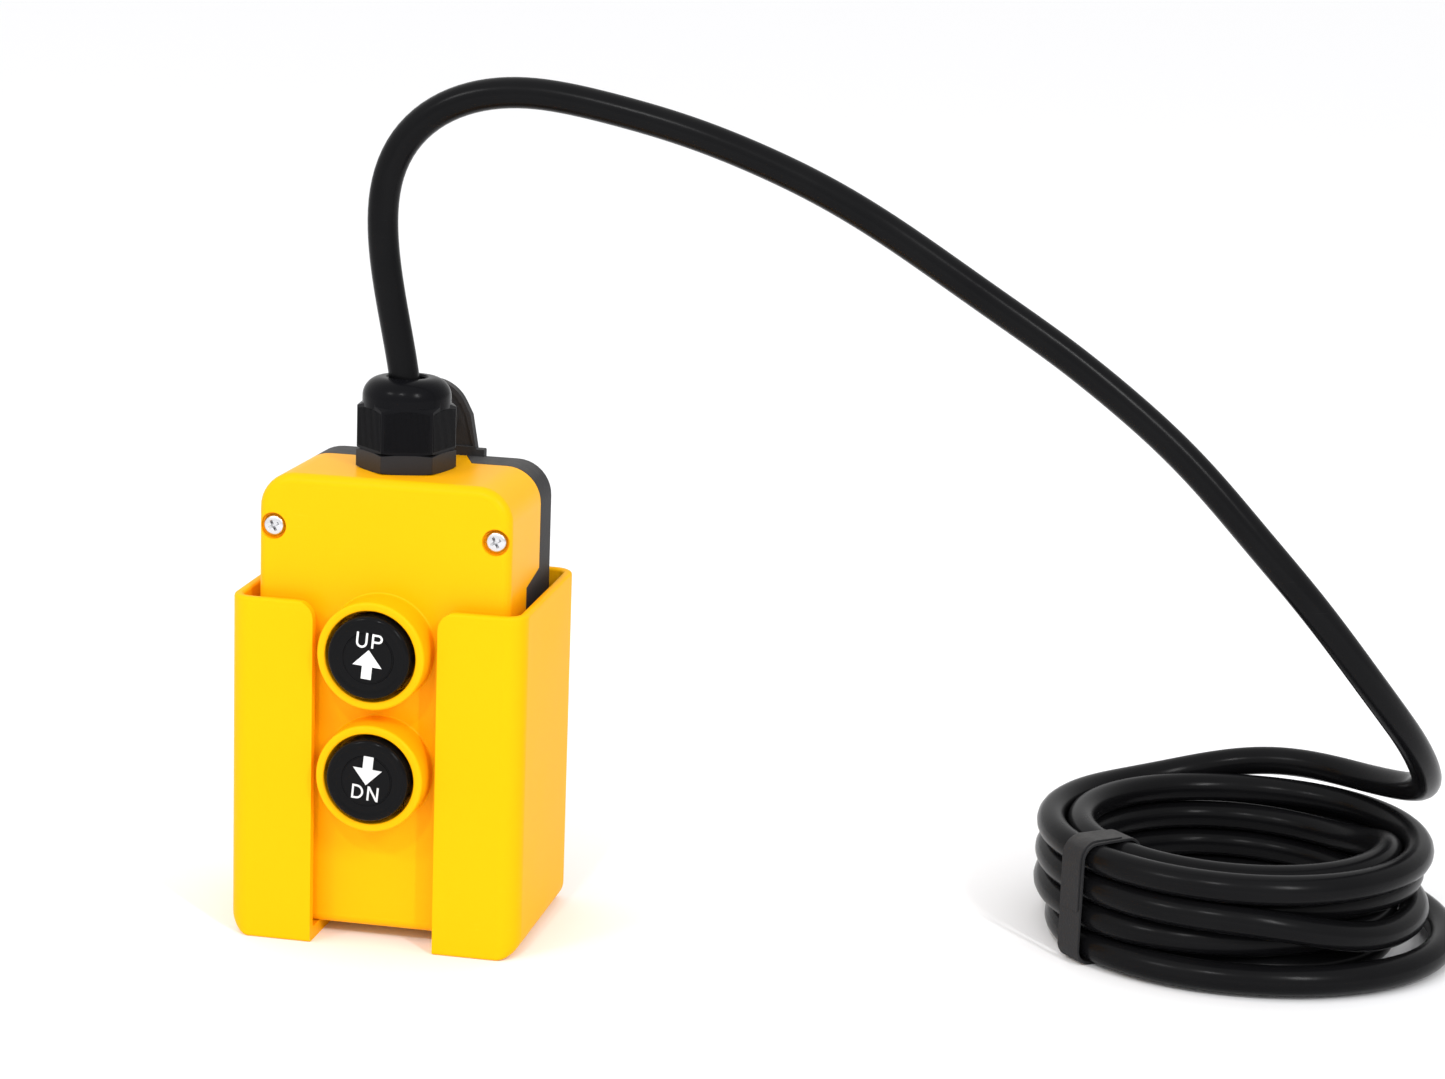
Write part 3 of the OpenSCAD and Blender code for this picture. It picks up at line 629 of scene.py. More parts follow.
def vector_of(tree, **sides):
    """A vector. Each side is a socket or a number, and a side left out is nothing."""
    return add_node(tree, "ShaderNodeCombineXYZ", **sides).outputs[0]


def shape_of(tree, source):
    """The mesh of an object that the tree was given."""
    return add_node(tree, "GeometryNodeObjectInfo", Object=source).outputs["Geometry"]


def copies(tree, points, shape, **ways):
    """A copy of the shape on each point, scaled or turned by a vector."""
    return add_node(tree, "GeometryNodeInstanceOnPoints", Points=points, Instance=shape, **ways).outputs[0]


def close_tree(tree, instances, given, out):
    """Every tree ends alike: instances made real, then given their finish."""
    real = add_node(tree, "GeometryNodeRealizeInstances", Geometry=instances)
    finished = add_node(tree, "GeometryNodeSetMaterial", Geometry=real.outputs[0],
                        Material=given.outputs["Finish"])
    feed(tree, finished.outputs[0], out.inputs["Geometry"])


# %% A row of copies that shrink along the row
def make_shrinking_row():
    tree, given, out = start_group(
        "shrinking_row",
        [("Ring", OBJECT, None), ("Count", INTEGER, 6), ("Pitch", FLOAT, 0.003), ("Shrink", FLOAT, 0.04),
         ("Finish", FINISH, None)], [("Geometry", GEOMETRY)], "GeometryNodeTree")
    row = add_node(tree, "GeometryNodeMeshLine", Count=given.outputs["Count"],
                   Offset=vector_of(tree, Z=given.outputs["Pitch"]))
    index = add_node(tree, "GeometryNodeInputIndex")
    less = calc(tree, "MULTIPLY", given.outputs["Shrink"], -1.0)
    size = calc(tree, "MULTIPLY_ADD", index.outputs[0], less, 1.0)
    placed = copies(tree, row.outputs[0], shape_of(tree, given.outputs["Ring"]),
                    Scale=vector_of(tree, X=size, Y=size, Z=1.0))
    close_tree(tree, placed, given, out)
    return tree


shrinking_row = make_shrinking_row()

# %% Plug boot
PLUG_START, PLUG_TURN = Vector((243, 121, 6)), 160
BOOT_L, PLUG_L, PLUG_W, PLUG_H, PLUG_R = 22.0, 30.0, 20.0, 12.0, 2.2
at_plug = (Matrix.Translation(PLUG_START) @ Matrix.Rotation(math.radians(PLUG_TURN), 4, "Z")
           @ Matrix.Rotation(math.radians(90), 4, "Y"))
boot_side = [(0, 0), (4.55, 0), (4.75, 0.25), (4.8, 9), (5.2, 19), (5.3, BOOT_L), (0, BOOT_L)]
boot = turned("boot_core", boot_side, steps=40)
boot_ring = turned("boot_ring", [(4.0, 0)] + arc((5.0, 0.9), 0.9, -90, 90, 6) + [(4.0, 1.8)], steps=40)
boot_ribs = run_tree(shrinking_row, "boot_ribs", {
    "Ring": boot_ring, "Count": 6, "Pitch": -2.9 * MM, "Shrink": 0.035, "Finish": finishes["plug_black"]})
move(boot_ribs, Matrix.Translation((0, 0, 19.2)))
bpy.data.objects.remove(boot_ring)
boot = join("plug_boot_ribbed", [boot, boot_ribs])
move(boot, at_plug)
finish_piece(boot, finishes["plug_black"], "root", ["plug_boot"])


# %% Plug housing
def rounded(x0, x1, y0, y1, radius, steps=6, stops=()):
    """A round-cornered outline, counterclockwise, with extra points at given heights on both sides."""
    r = max(radius, 0.05)
    points = arc((x1 - r, y0 + r), r, -90, 0, steps) + [(x1, y) for y in stops]
    points += arc((x1 - r, y1 - r), r, 0, 90, steps) + arc((x0 + r, y1 - r), r, 90, 180, steps)
    return points + [(x0, y) for y in reversed(stops)] + arc((x0 + r, y0 + r), r, 180, 270, steps)


def plug_ring(inset, along):
    """A cross-section of the plug. The plug's height is along its local X."""
    x, y = PLUG_H / 2 - inset, PLUG_W / 2 - inset
    outline = rounded(-x, x, -y, y, PLUG_R - inset)
    return [(x, y, along) for x, y in outline]


plug = loft("plug_shell", [plug_ring(3.2, 0), plug_ring(2.4, 1.5), plug_ring(1.0, 4), plug_ring(0.9, 8.5),
                           plug_ring(0.0, 9.3), plug_ring(0.0, 27), plug_ring(0.0, PLUG_L)])
for k in range(5):
    for s in (-1, 1):
        y, z = s * PLUG_W / 2, 12 + 3 * k
        carve(plug, block("grip", (-3.6, y - 0.5, z), (3.6, y + 0.5, z + 1.4)))
for s in (-1, 0, 1):
    carve(plug, block("slot", (4.9, s * 6.2 - 0.6, 11), (7, s * 6.2 + 0.6, 26)))
add_to(plug, block("latch", (-7.9, -4, 6), (-5.5, 4, 27)))
carve(plug, block("latch_window", (-9, -1.8, 17), (-6.6, 1.8, 24)))
for k in range(4):
    y = (k - 1.5) * 4.4
    carve(plug, rod("socket_hole", 1.6, 16, 40, Matrix.Translation((0, y, 0)), 24))
soften(plug, 0.3)
move(plug, at_plug @ Matrix.Translation((0, 0, BOOT_L)))
finish_piece(plug, finishes["plug_black"], "root", ["plug_housing"])

# %% Strap
STRAP_T, STRAP_W, STRAP_R, STRAP_TURN = 0.8, 9.0, 4.9, 222
strap_in, strap_out, strap_top = 37.5, 58.4, 35.5


def strap_ring(inset, across):
    outline = rounded(strap_in + inset, strap_out - inset, inset, strap_top - inset, STRAP_R - inset, 8)
    return [(x, across, z) for x, z in outline]


strap_place = Matrix.Translation(COIL) @ Matrix.Rotation(math.radians(STRAP_TURN), 4, "Z")
strap = loft("strap", [strap_ring(0, -STRAP_W / 2), strap_ring(0, STRAP_W / 2),
                       strap_ring(STRAP_T, STRAP_W / 2), strap_ring(STRAP_T, -STRAP_W / 2)],
             strap_place, ring_closed=True)
flap_line = [(strap_out - 14, strap_top), (strap_out - STRAP_R, strap_top)]
flap_line += arc((strap_out - STRAP_R, strap_top - STRAP_R), STRAP_R, 90, 0, 8)[1:] + [(strap_out, 16)]
flap_outer = [(strap_out - 14, strap_top + 0.5), (strap_out - STRAP_R, strap_top + 0.7)]
flap_outer += arc((strap_out - STRAP_R, strap_top - STRAP_R), STRAP_R + 0.7, 90, 0, 8)[1:]
flap_outer.append((strap_out + 0.5, 16))
flap = loft("flap", [[(x, y, z) for x, z in flap_outer + flap_line[::-1]]
                     for y in (-STRAP_W / 2 + 0.6, STRAP_W / 2 - 0.6)], strap_place)
strap = join("coil_strap", [strap, flap])
soften(strap, 0.18)
finish_piece(strap, finishes["tie_black"], "root", ["coil_tie"])

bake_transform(cord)


# %% [markdown]
# ## Holster
# The holster is a moulded open box with a slot down its front between two flaps. Its walls
# are lofted in rings: over the round lower corners, up the outside, over the rounded rim and
# down the inside. The gap and the wall holes are then cut, and their edges softened.

# %% Holster walls
WALL, FLOOR_T, CORNER, RIM, FOOT = 2.6, 3.6, 6.0, 0.9, 0.8
HOLSTER_W, HOLSTER_D = holster_high.x - holster_low.x, holster_high.y - holster_low.y
FRONT, BACK = holster_low.y, holster_high.y
RISE = 1.4
HOLSTER_H = holster_high.z - RISE


def holster_ring(side, ends, z, slope=0.0):
    """A ring at height z, with its sides and its ends drawn in. slope lets the rim rise to the back."""
    x, corner = HOLSTER_W / 2 - side, max(CORNER - max(side if side < CORNER else 0, ends), 1.2)
    outline = rounded(-x, x, FRONT + ends, BACK - ends, corner, 8)
    return [(px, py, z + slope * RISE * (py - FRONT) / HOLSTER_D) for px, py in outline]


rings = []
for angle in (0, 12, 21, 30, 40, 50, 60, 70, 80, 90):
    a = math.radians(angle)
    z = CORNER * (1 - math.cos(a))
    under = max(0.0, FOOT - z)
    end_in = FOOT - math.sqrt(max(0.0, FOOT ** 2 - under ** 2))
    rings.append(holster_ring(max(CORNER * (1 - math.sin(a)), 0.0), end_in, z))
rim = [(RIM * (1 - cos), RIM * sin) for sin, cos in quarter(4)]
rim += [(WALL - RIM * (1 - sin), RIM * cos) for sin, cos in quarter(4)]
rings += [holster_ring(inset, inset, HOLSTER_H - RIM + lift, 1) for inset, lift in rim]
foot = [(WALL + FOOT * (1 - cos), FLOOR_T + FOOT * (1 - sin)) for sin, cos in quarter(3)]
rings += [holster_ring(inset, inset, z) for inset, z in foot]
holster = loft("holster_moulding", rings)

# %% Guide ribs inside
RIB_T, RIB_TOP = 2.4, 81
for s in (-1, 1):
    inner, outer = sorted((s * (CASE_W / 2 + 0.6), s * (HOLSTER_W / 2 - WALL + 0.4)))
    for y in (FRONT + 16, FRONT + 42):
        add_to(holster, block("rib", (inner, y - RIB_T / 2, 2), (outer, y + RIB_T / 2, RIB_TOP)))
    for x, near, far in ((s * 20, CASE_BACK + 0.6, BACK - WALL + 0.4),
                         (s * (21.6 + RIB_T / 2), FRONT + WALL - 0.4, CASE_Y - 0.6)):
        add_to(holster, block("rib", (x - RIB_T / 2, near, 2), (x + RIB_T / 2, far, RIB_TOP)))

# %% The gap between the flaps, the slot in the floor and the wall holes
GAP, GAP_R, SLOT_L, HOLE_R, HOLE_PITCH = 35.0, 5.0, 24.0, 2.5, 50.0
half = GAP / 2
gap_outline = [(-half, -2), (half, -2)]
gap_outline += [(x, z) for x, z in arc((half + GAP_R, HOLSTER_H - GAP_R), GAP_R, 180, 90, 8)]
gap_outline += [(half + GAP_R, HOLSTER_H + 6), (-half - GAP_R, HOLSTER_H + 6)]
gap_outline += [(x, z) for x, z in arc((-half - GAP_R, HOLSTER_H - GAP_R), GAP_R, 90, 0, 8)]
carve(holster, extruded("gap", gap_outline, FRONT - 2, FRONT + WALL + 1, facing()))
carve(holster, extruded("slot", rounded(-half, half, FRONT - 2, FRONT + SLOT_L, 4, 8), -1, FLOOR_T + 2))
for s in (-1, 1):
    hole_at = facing(z=HOLSTER_H / 2 + s * HOLE_PITCH / 2)
    carve(holster, rod("hole", HOLE_R, BACK - 5, BACK + 1, hole_at))
soften(holster, 0.7, 3, 50)
finish_piece(holster, finishes["holster_yellow"], "root", ["holster"])


# %% [markdown]
# ## The case
# The case is split behind its middle: a yellow front with soft edges, and a dark cover that
# reaches further forward below a slanted step. Both halves come from the same outline, so
# their parting faces meet. Collars, bosses and posts are joined on, and holes are drilled.

# %% The outline that both halves share
CASE_R, CASE_WALL = 10.0, 2.5
UPPER_D, LOWER_D, STEP_Z, STEP_RISE, SEAM = 33.0, 19.0, 96.0, 2.7, 0.3


def parting(height):
    """Depth of the parting face at a height above the case's bottom."""
    share = min(1.0, max(0.0, (height - STEP_Z) / STEP_RISE))
    return LOWER_D + (UPPER_D - LOWER_D) * share


def case_ring(inset, depth):
    """The case's outline at a depth, or at the parting face plus a few tenths where depth is a function."""
    outline = rounded(-CASE_W / 2 + inset, CASE_W / 2 - inset, inset, CASE_H - inset, CASE_R - inset, 10,
                      (STEP_Z, STEP_Z + STEP_RISE))
    return [(x, CASE_Y + (depth(h) if callable(depth) else depth), CASE_Z + h) for x, h in outline]


def bar(name, radius, start, stop, x=0.0, z=0.0, steps=32):
    """A round bar along Y in the case's own depth."""
    return rod(name, radius, start, stop, facing(x, CASE_Y, z), steps)


# %% Yellow front: the shell
FRONT_EDGE = 2.8
rings = [case_ring(FRONT_EDGE * (1 - sin), FRONT_EDGE * (1 - cos)) for sin, cos in quarter(6)]
rings += [case_ring(0, lambda h: parting(h) - SEAM), case_ring(SEAM, parting),
          case_ring(CASE_WALL, parting), case_ring(CASE_WALL, CASE_WALL)]
front = loft("case_front", rings)

# %% Yellow front: collars, bosses, posts and the tongue under the gland
COLLAR_R, BORE_R, COLLAR_REACH, COLLAR_FLOOR = 15.0, 12.6, 10.9, -1.5
GUIDE_R, GUIDE_END, STEM_R = 7.0, 8.0, 4.0
SCREW_X, SCREW_H = CASE_W / 2 - 4.3, (14.8, CASE_H - 14.8)
BOSS_R, POST_R, POST_X, POST_END = 4.2, 3.6, 23.0, 35.0
POST_Z = sum(BUTTON_Z.values()) / 2  # midway between the buttons
collar = [(STEM_R + 0.05, COLLAR_FLOOR), (BORE_R - 0.4, COLLAR_FLOOR), (BORE_R, COLLAR_FLOOR - 0.4)]
collar += arc((BORE_R + 0.5, -COLLAR_REACH + 0.5), 0.5, 180, 270, 4)
collar += arc((COLLAR_R - 0.9, -COLLAR_REACH + 0.9), 0.9, 270, 360, 5)
collar += [(COLLAR_R, -0.5)] + arc((COLLAR_R + 0.6, -0.6), 0.6, 180, 90, 4)[1:]
collar += [(COLLAR_R + 0.6, 1), (GUIDE_R, 1), (GUIDE_R, GUIDE_END), (STEM_R + 0.05, GUIDE_END)]
for z in BUTTON_Z.values():
    carve(front, bar("stem_hole", STEM_R + 1, -1, 5, 0, z))
    add_to(front, turned("collar", collar, facing(0, CASE_Y, z), 96))
for s in (-1, 1):
    for h in SCREW_H:
        add_to(front, bar("boss", BOSS_R, CASE_WALL - 0.4, parting(h) - 0.02, s * SCREW_X, CASE_Z + h))
    add_to(front, bar("post", POST_R, CASE_WALL - 0.4, POST_END, s * POST_X, POST_Z))
TONGUE = [(-15.3, UPPER_D - 1.5), (15.3, UPPER_D - 1.5), (15.3, UPPER_D), (11, CASE_D - 3.5),
          (-11, CASE_D - 3.5), (-15.3, UPPER_D)]
add_to(front, extruded("tongue", [(x, CASE_Y + y) for x, y in TONGUE], CASE_TOP - 3.1, CASE_TOP))

# %% Yellow front: screw seats, holes and the blank label recess
THREAD_R, SHANK_R, PILOT_R = 10.0, 1.7, 1.5
for s in (-1, 1):
    for h in SCREW_H:
        carve(front, bar("seat", 3.7, -1, 2.2, s * SCREW_X, CASE_Z + h, 40))
        carve(front, bar("shank_hole", SHANK_R, 1, 40, s * SCREW_X, CASE_Z + h, 20))
    carve(front, bar("pilot", PILOT_R, POST_END - 9, POST_END + 1, s * POST_X, POST_Z, 20))
carve(front, rod("gland_hole", THREAD_R + 0.1, CASE_TOP - 8, CASE_TOP + 8,
                 Matrix.Translation((0, GLAND_Y, 0)), 64))
LABEL = (-16.5, 16.5, 106.0, 122.3)
label_rings = [[(x, CASE_Y + depth, z) for x, z in
                rounded(LABEL[0] + s, LABEL[1] - s, LABEL[2] + s, LABEL[3] - s, 1.0, 4)]
               for depth, s in ((-1, 0), (0, 0), (0.14, 0.35))]
carve(front, loft("label", label_rings))
soften(front, 0.3, 2, 42)
finish_piece(front, finishes["housing_yellow"], "pendant", ["front_housing"])

# %% Dark rear cover: shell, bosses and the notch for the tongue
BACK_EDGE = 2.2
rings = [case_ring(BACK_EDGE * (1 - sin), CASE_D - BACK_EDGE * (1 - cos)) for sin, cos in quarter(6)]
rings += [case_ring(0, lambda h: parting(h) + SEAM), case_ring(SEAM, lambda h: parting(h) + 0.02),
          case_ring(CASE_WALL, lambda h: parting(h) + 0.02), case_ring(CASE_WALL, CASE_D - CASE_WALL)]
cover = loft("case_cover", rings)
for s in (-1, 1):
    for h in SCREW_H:
        add_to(cover, bar("boss", BOSS_R, parting(h) + 0.04, CASE_D - CASE_WALL + 0.4,
                          s * SCREW_X, CASE_Z + h))
        carve(cover, bar("insert_hole", 2.25, parting(h) - 1, CASE_D - 5, s * SCREW_X, CASE_Z + h, 24))
NOTCH = [(-15.45, UPPER_D - 4), (15.45, UPPER_D - 4), (15.45, UPPER_D), (11.15, CASE_D - 3.35),
         (-11.15, CASE_D - 3.35), (-15.45, UPPER_D)]
carve(cover, extruded("notch", [(x, CASE_Y + y) for x, y in NOTCH], CASE_TOP - 3.25, CASE_TOP + 5))

# %% Dark rear cover: the hanging eye
EYE_T, EYE_R, EYE_H, EYE_TOP, EYE_ARCH = 3.3, 6.5, 10.5, 21.3, 11.2


def eye_outline(inset, foot):
    """The arch's outline, drawn in by a rim's width."""
    r = EYE_ARCH - inset
    first = math.degrees(math.asin((15 - (EYE_TOP - EYE_ARCH)) / EYE_ARCH))
    points = [(14.2 - inset, foot), (11.9 - inset, 11.5), (10.3 - inset, 14.6)]
    points += arc((0, EYE_TOP - EYE_ARCH), r, first + 2, 178 - first, 24)
    return points + [(-x, h) for x, h in points[:3][::-1]]


eye_at = facing(0, CASE_BACK - EYE_T, CASE_TOP)
ring_at = facing(0, CASE_BACK - EYE_T, CASE_TOP + EYE_H)
eye = extruded("eye", eye_outline(0, -1.7), 0, EYE_T - 0.03, eye_at)
carve(eye, extruded("web", eye_outline(1.5, 2.6), -1, 0.8, eye_at))
carve(eye, rod("eye_hole", EYE_R + 0.8, -2, 6, ring_at, 48))
eye_ring = turned("eye_ring", [(EYE_R, 0.1), (EYE_R + 1.6, 0.1), (EYE_R + 1.6, EYE_T - 0.4),
                               (EYE_R, EYE_T - 0.4)], ring_at, 48)
eye_step = block("eye_step", (-16, CASE_BACK - EYE_T - 0.04, CASE_TOP - 1.9),
                 (16, CASE_BACK - 0.06, CASE_TOP + 2))
for part in (cover, eye, eye_ring, eye_step):
    soften(part, 0.35, 2, 42)
cover = join("case_cover", [cover, eye, eye_ring, eye_step])
finish_piece(cover, finishes["cover_black"], "pendant", ["rear_cover"])


# %% [markdown]
# ## Housing screws
# Four pan head screws close the case. One screw is modelled with its cross recess, and a
# Geometry Nodes grid puts a copy in each seat.

# %% One screw
HEAD_R, HEAD_T, SEAT, SCREW_END = 3.0, 2.0, 2.2, 40.0
head = [(0, 0)] + [(HEAD_R * math.sin(math.radians(a)) * 0.93, 0.75 * (1 - math.cos(math.radians(a))))
                   for a in (15, 30, 45, 60, 75, 90)]
head += [(HEAD_R, 1.1), (HEAD_R, HEAD_T - 0.15), (HEAD_R - 0.15, HEAD_T), (1.5, HEAD_T)]
head += [(r, HEAD_T + 26 + 0.5 * k + d) for k in range(20) for r, d in ((1.28, 0.0), (1.5, 0.25))]
head += [(1.2, SCREW_END - SEAT + HEAD_T - 0.3), (0, SCREW_END - SEAT + HEAD_T)]
screw = turned("screw", head, steps=40)
for turn_by in (0, 90):
    arm = [[(-x, -w, d), (x, -w, d), (x, w, d), (-x, w, d)]
           for x, w, d in ((2.1, 0.42, -0.5), (0.7, 0.25, 1.5))]
    carve(screw, loft("recess", arm, Matrix.Rotation(math.radians(turn_by + 28), 4, "Z")))
soften(screw, 0.06, 2, 50)


# %% The grid of screws
def make_screw_grid():
    tree, given, out = start_group(
        "screw_grid", [("Screw", OBJECT, None), ("Across", FLOAT, 0.06), ("Up", FLOAT, 0.09),
                       ("Finish", FINISH, None)], [("Geometry", GEOMETRY)], "GeometryNodeTree")
    grid = add_node(tree, "GeometryNodeMeshGrid", Vertices_X=2, Vertices_Y=2,
                    Size_X=given.outputs["Across"], Size_Y=given.outputs["Up"])
    placed = copies(tree, grid.outputs["Mesh"], shape_of(tree, given.outputs["Screw"]))
    close_tree(tree, placed, given, out)
    return tree


screws = run_tree(make_screw_grid(), "case_screws", {
    "Screw": screw, "Across": 2 * SCREW_X * MM, "Up": (SCREW_H[1] - SCREW_H[0]) * MM,
    "Finish": finishes["zinc_steel"]})
bpy.data.objects.remove(screw)
move(screws, facing(0, CASE_Y + SEAT - HEAD_T, CASE_Z + sum(SCREW_H) / 2))
finish_piece(screws, finishes["zinc_steel"], "pendant", ["housing_screws"])


# %% [markdown]
# ## Buttons
# Each cap is a turned piece with its stem: a dished face inside a rounded rim, with a fine
# ring groove. The legends are printed flat on it: an arrow and two plain letters drawn with
# one stroke width. They only say which way the button works.

# %% Caps
CAP_R, CAP_EDGE, DISH = 11.5, 1.3, 0.28
face = CAP_FRONT - CASE_Y


def cap_profile():
    flat = face + DISH
    points = [(0, flat), (6.65, flat), (6.72, flat + 0.2), (7.0, flat + 0.2), (7.2, flat), (8.7, flat)]
    points += [(9.3, flat - 0.08), (9.7, face + 0.04), (10.0, face)]
    points += arc((CAP_R - CAP_EDGE, face + CAP_EDGE), CAP_EDGE, 270, 360, 7)
    points += [(CAP_R, -6.2), (CAP_R - 0.2, -6), (9.9, -6), (9.7, -6.2), (9.7, face + 3), (4.2, face + 3)]
    points += [(4, face + 3.2), (4, 8.0), (3.3, 8.05), (3.3, 8.85), (4, 8.9), (4, 9.6), (3.6, 10), (0, 10)]
    return points


def arrow(up):
    """A block arrow that points up or down."""
    half_head, half_stem = 4.1, 1.4
    tip, base, tail = (2.4, -2.2, -5.75) if up else (-1.1, 3.5, 7.0)
    return [(0, tip), (half_head, base), (half_stem, base), (half_stem, tail), (-half_stem, tail),
            (-half_stem, base), (-half_head, base)]


# %% Letters from strokes
STROKE = 0.56
LETTERS = {
    "U": [[(0, 4), (0, 1.3)] + arc((1.3, 1.3), 1.3, 180, 360, 10)[1:] + [(2.6, 4)]],
    "P": [[(0, 0), (0, 4)], [(0, 3.7), (1.5, 3.7)] + arc((1.5, 2.75), 0.95, 90, -90, 8)[1:] + [(0, 1.8)]],
    "D": [[(0, 0), (0, 4)], [(0, 3.7), (1.0, 3.7)] + arc((1.0, 2.0), 1.7, 90, -90, 12)[1:] + [(0, 0.3)]],
    "N": [[(0, 0), (0, 4)], [(0.1, 3.8), (2.5, 0.2)], [(2.6, 0), (2.6, 4)]],
}


def ribbon(points, width):
    """The outline of a stroke of even width along a line of points."""
    left, right_side = [], []
    for i, point in enumerate(points):
        p = Vector(point)
        a = (p - Vector(points[i - 1])).normalized() if i else None
        b = (Vector(points[i + 1]) - p).normalized() if i < len(points) - 1 else None
        along = ((a or b) + (b or a)).normalized()
        across = Vector((-along.y, along.x)) * width / 2 / max(0.6, along.dot(a or b))
        left.append(tuple(p + across))
        right_side.append(tuple(p - across))
    return left + right_side[::-1]


LEGENDS = {"up": ("UP", 3.0, finishes["legend_white"]), "down": ("DN", -5.3, finishes["legend_grey"])}
PRINT_T, LEGEND_TURN, LETTER_GAP = 0.05, -5.3, 1.75


def legend(name):
    """The printed arrow and letters of one cap, a little turned as the cap sits."""
    word, baseline, finish = LEGENDS[name]
    turn = Matrix.Rotation(math.radians(LEGEND_TURN), 4, "Z")
    place = facing(0, CASE_Y + face + DISH, BUTTON_Z[name]) @ turn
    parts = [extruded("arrow", arrow(name == "up"), -PRINT_T, 0.02, place)]
    x = -(2 * 2.6 + LETTER_GAP) / 2
    for letter in word:
        for line in LETTERS[letter]:
            outline = ribbon([(x + px, baseline + pz) for px, pz in line], STROKE)
            ink = PRINT_T + 0.008 * len(parts)  # strokes that cross never lie in one plane
            parts.append(extruded("stroke", outline, -ink, 0.02, place))
        x += 2.6 + LETTER_GAP
    printed = join(name + "_legend", parts)
    return finish_piece(printed, finish, name + "_button")


for name in ("up", "down"):
    cap = turned(name + "_button_cap", cap_profile(), facing(0, CASE_Y, BUTTON_Z[name]), 96)
    finish_piece(cap, finishes["cap_black"], name + "_button", [name + "_cap"])
    legend(name)


# %% [markdown]
# ## Cable gland
# The gland is a hexagon body, and a hexagon nut with a round dome. Fine ribs run down the
# nut's flats for grip. The ribs repeat on six flats, so Geometry Nodes make them: a row of
# ribs is made once, and six turned copies of the row stand round the nut.

# %% Gland body
GLAND_TURN, FLATS = math.radians(17), 24.0
NUT_Z = CASE_TOP + HEX_H
DOME_Z, GLAND_TOP = NUT_Z + 13.0, NUT_Z + 20.0
gland_place = Matrix.Translation((0, GLAND_Y, 0)) @ Matrix.Rotation(GLAND_TURN, 4, "Z")


def hexagon(flats, corner):
    """A hexagon across its flats, with rounded corners."""
    points, reach = [], flats / math.sqrt(3) - corner / math.cos(math.radians(30))
    for k in range(6):
        a = math.radians(60 * k)
        centre = (reach * math.cos(a), reach * math.sin(a))
        points += arc(centre, corner, 60 * k - 30, 60 * k + 30, 4)
    return points


def chamfered_hexagon(name, flats, low, high, edge_low, edge_high):
    """A hexagon whose corners are turned down at both ends, as on a lathe."""
    hexagonal = extruded(name, hexagon(flats, 0.7), low, high, gland_place)
    corner = flats / math.sqrt(3) + 0.3
    round_limit = [(0, low - 0.01), (flats / 2 + 0.1, low - 0.01), (corner, low + edge_low),
                   (corner, high - edge_high), (flats / 2 + 0.1, high + 0.01), (0, high + 0.01)]
    return carve(hexagonal, turned("limit", round_limit, gland_place, 96), "INTERSECT")


body = chamfered_hexagon("gland_body_hexagon", FLATS, CASE_TOP, NUT_Z - 0.05, 0.5, 0.5)
thread = [(4.6, CASE_TOP - 9.3), (8.9, CASE_TOP - 9.3)]
thread += [(r, CASE_TOP - 9.0 + 1.2 * k + d) for k in range(7) for r, d in ((9.2, 0.0), (9.98, 0.5))]
thread += [(9.98, CASE_TOP + 1), (9.3, NUT_Z - 1)]
thread += [(r, NUT_Z + 0.4 + 1.2 * k + d) for k in range(7) for r, d in ((8.8, 0.0), (9.45, 0.5))]
thread += [(8.8, NUT_Z + 9), (6.5, NUT_Z + 9), (6.5, CASE_TOP + 3), (4.6, CASE_TOP + 3)]
carve(body, rod("bore", 6, CASE_TOP - 12, NUT_Z + 12, gland_place, 48))
add_to(body, turned("thread", thread, gland_place, 48))
soften(body, 0.2, 2, 45)
finish_piece(body, finishes["gland_base_black"], "pendant", ["gland_body"])

# %% Gland nut
DOME_R, SHOULDER, HOLE = 12.2, 5.4, 5.4
nut = chamfered_hexagon("gland_nut_hexagon", FLATS - 0.3, NUT_Z, DOME_Z, 0.4, 1.5)
dome = [(0, DOME_Z - 1), (DOME_R, DOME_Z - 1), (DOME_R, GLAND_TOP - SHOULDER)]
dome += arc((DOME_R - SHOULDER, GLAND_TOP - SHOULDER), SHOULDER, 0, 90, 12)[1:]
dome += [(HOLE + 0.5, GLAND_TOP - 0.02), (0, GLAND_TOP - 0.02)]
add_to(nut, turned("dome", dome, gland_place, 96))
inside = [(0, NUT_Z - 1), (9.55, NUT_Z - 1), (9.55, NUT_Z + 10), (7.5, NUT_Z + 10), (7.5, NUT_Z + 13),
          (HOLE, NUT_Z + 14), (HOLE, GLAND_TOP - 0.6), (HOLE + 0.6, GLAND_TOP + 0.1),
          (HOLE + 0.6, GLAND_TOP + 2), (0, GLAND_TOP + 2)]
carve(nut, turned("inside", inside, gland_place, 64))
soften(nut, 0.25, 3, 40)


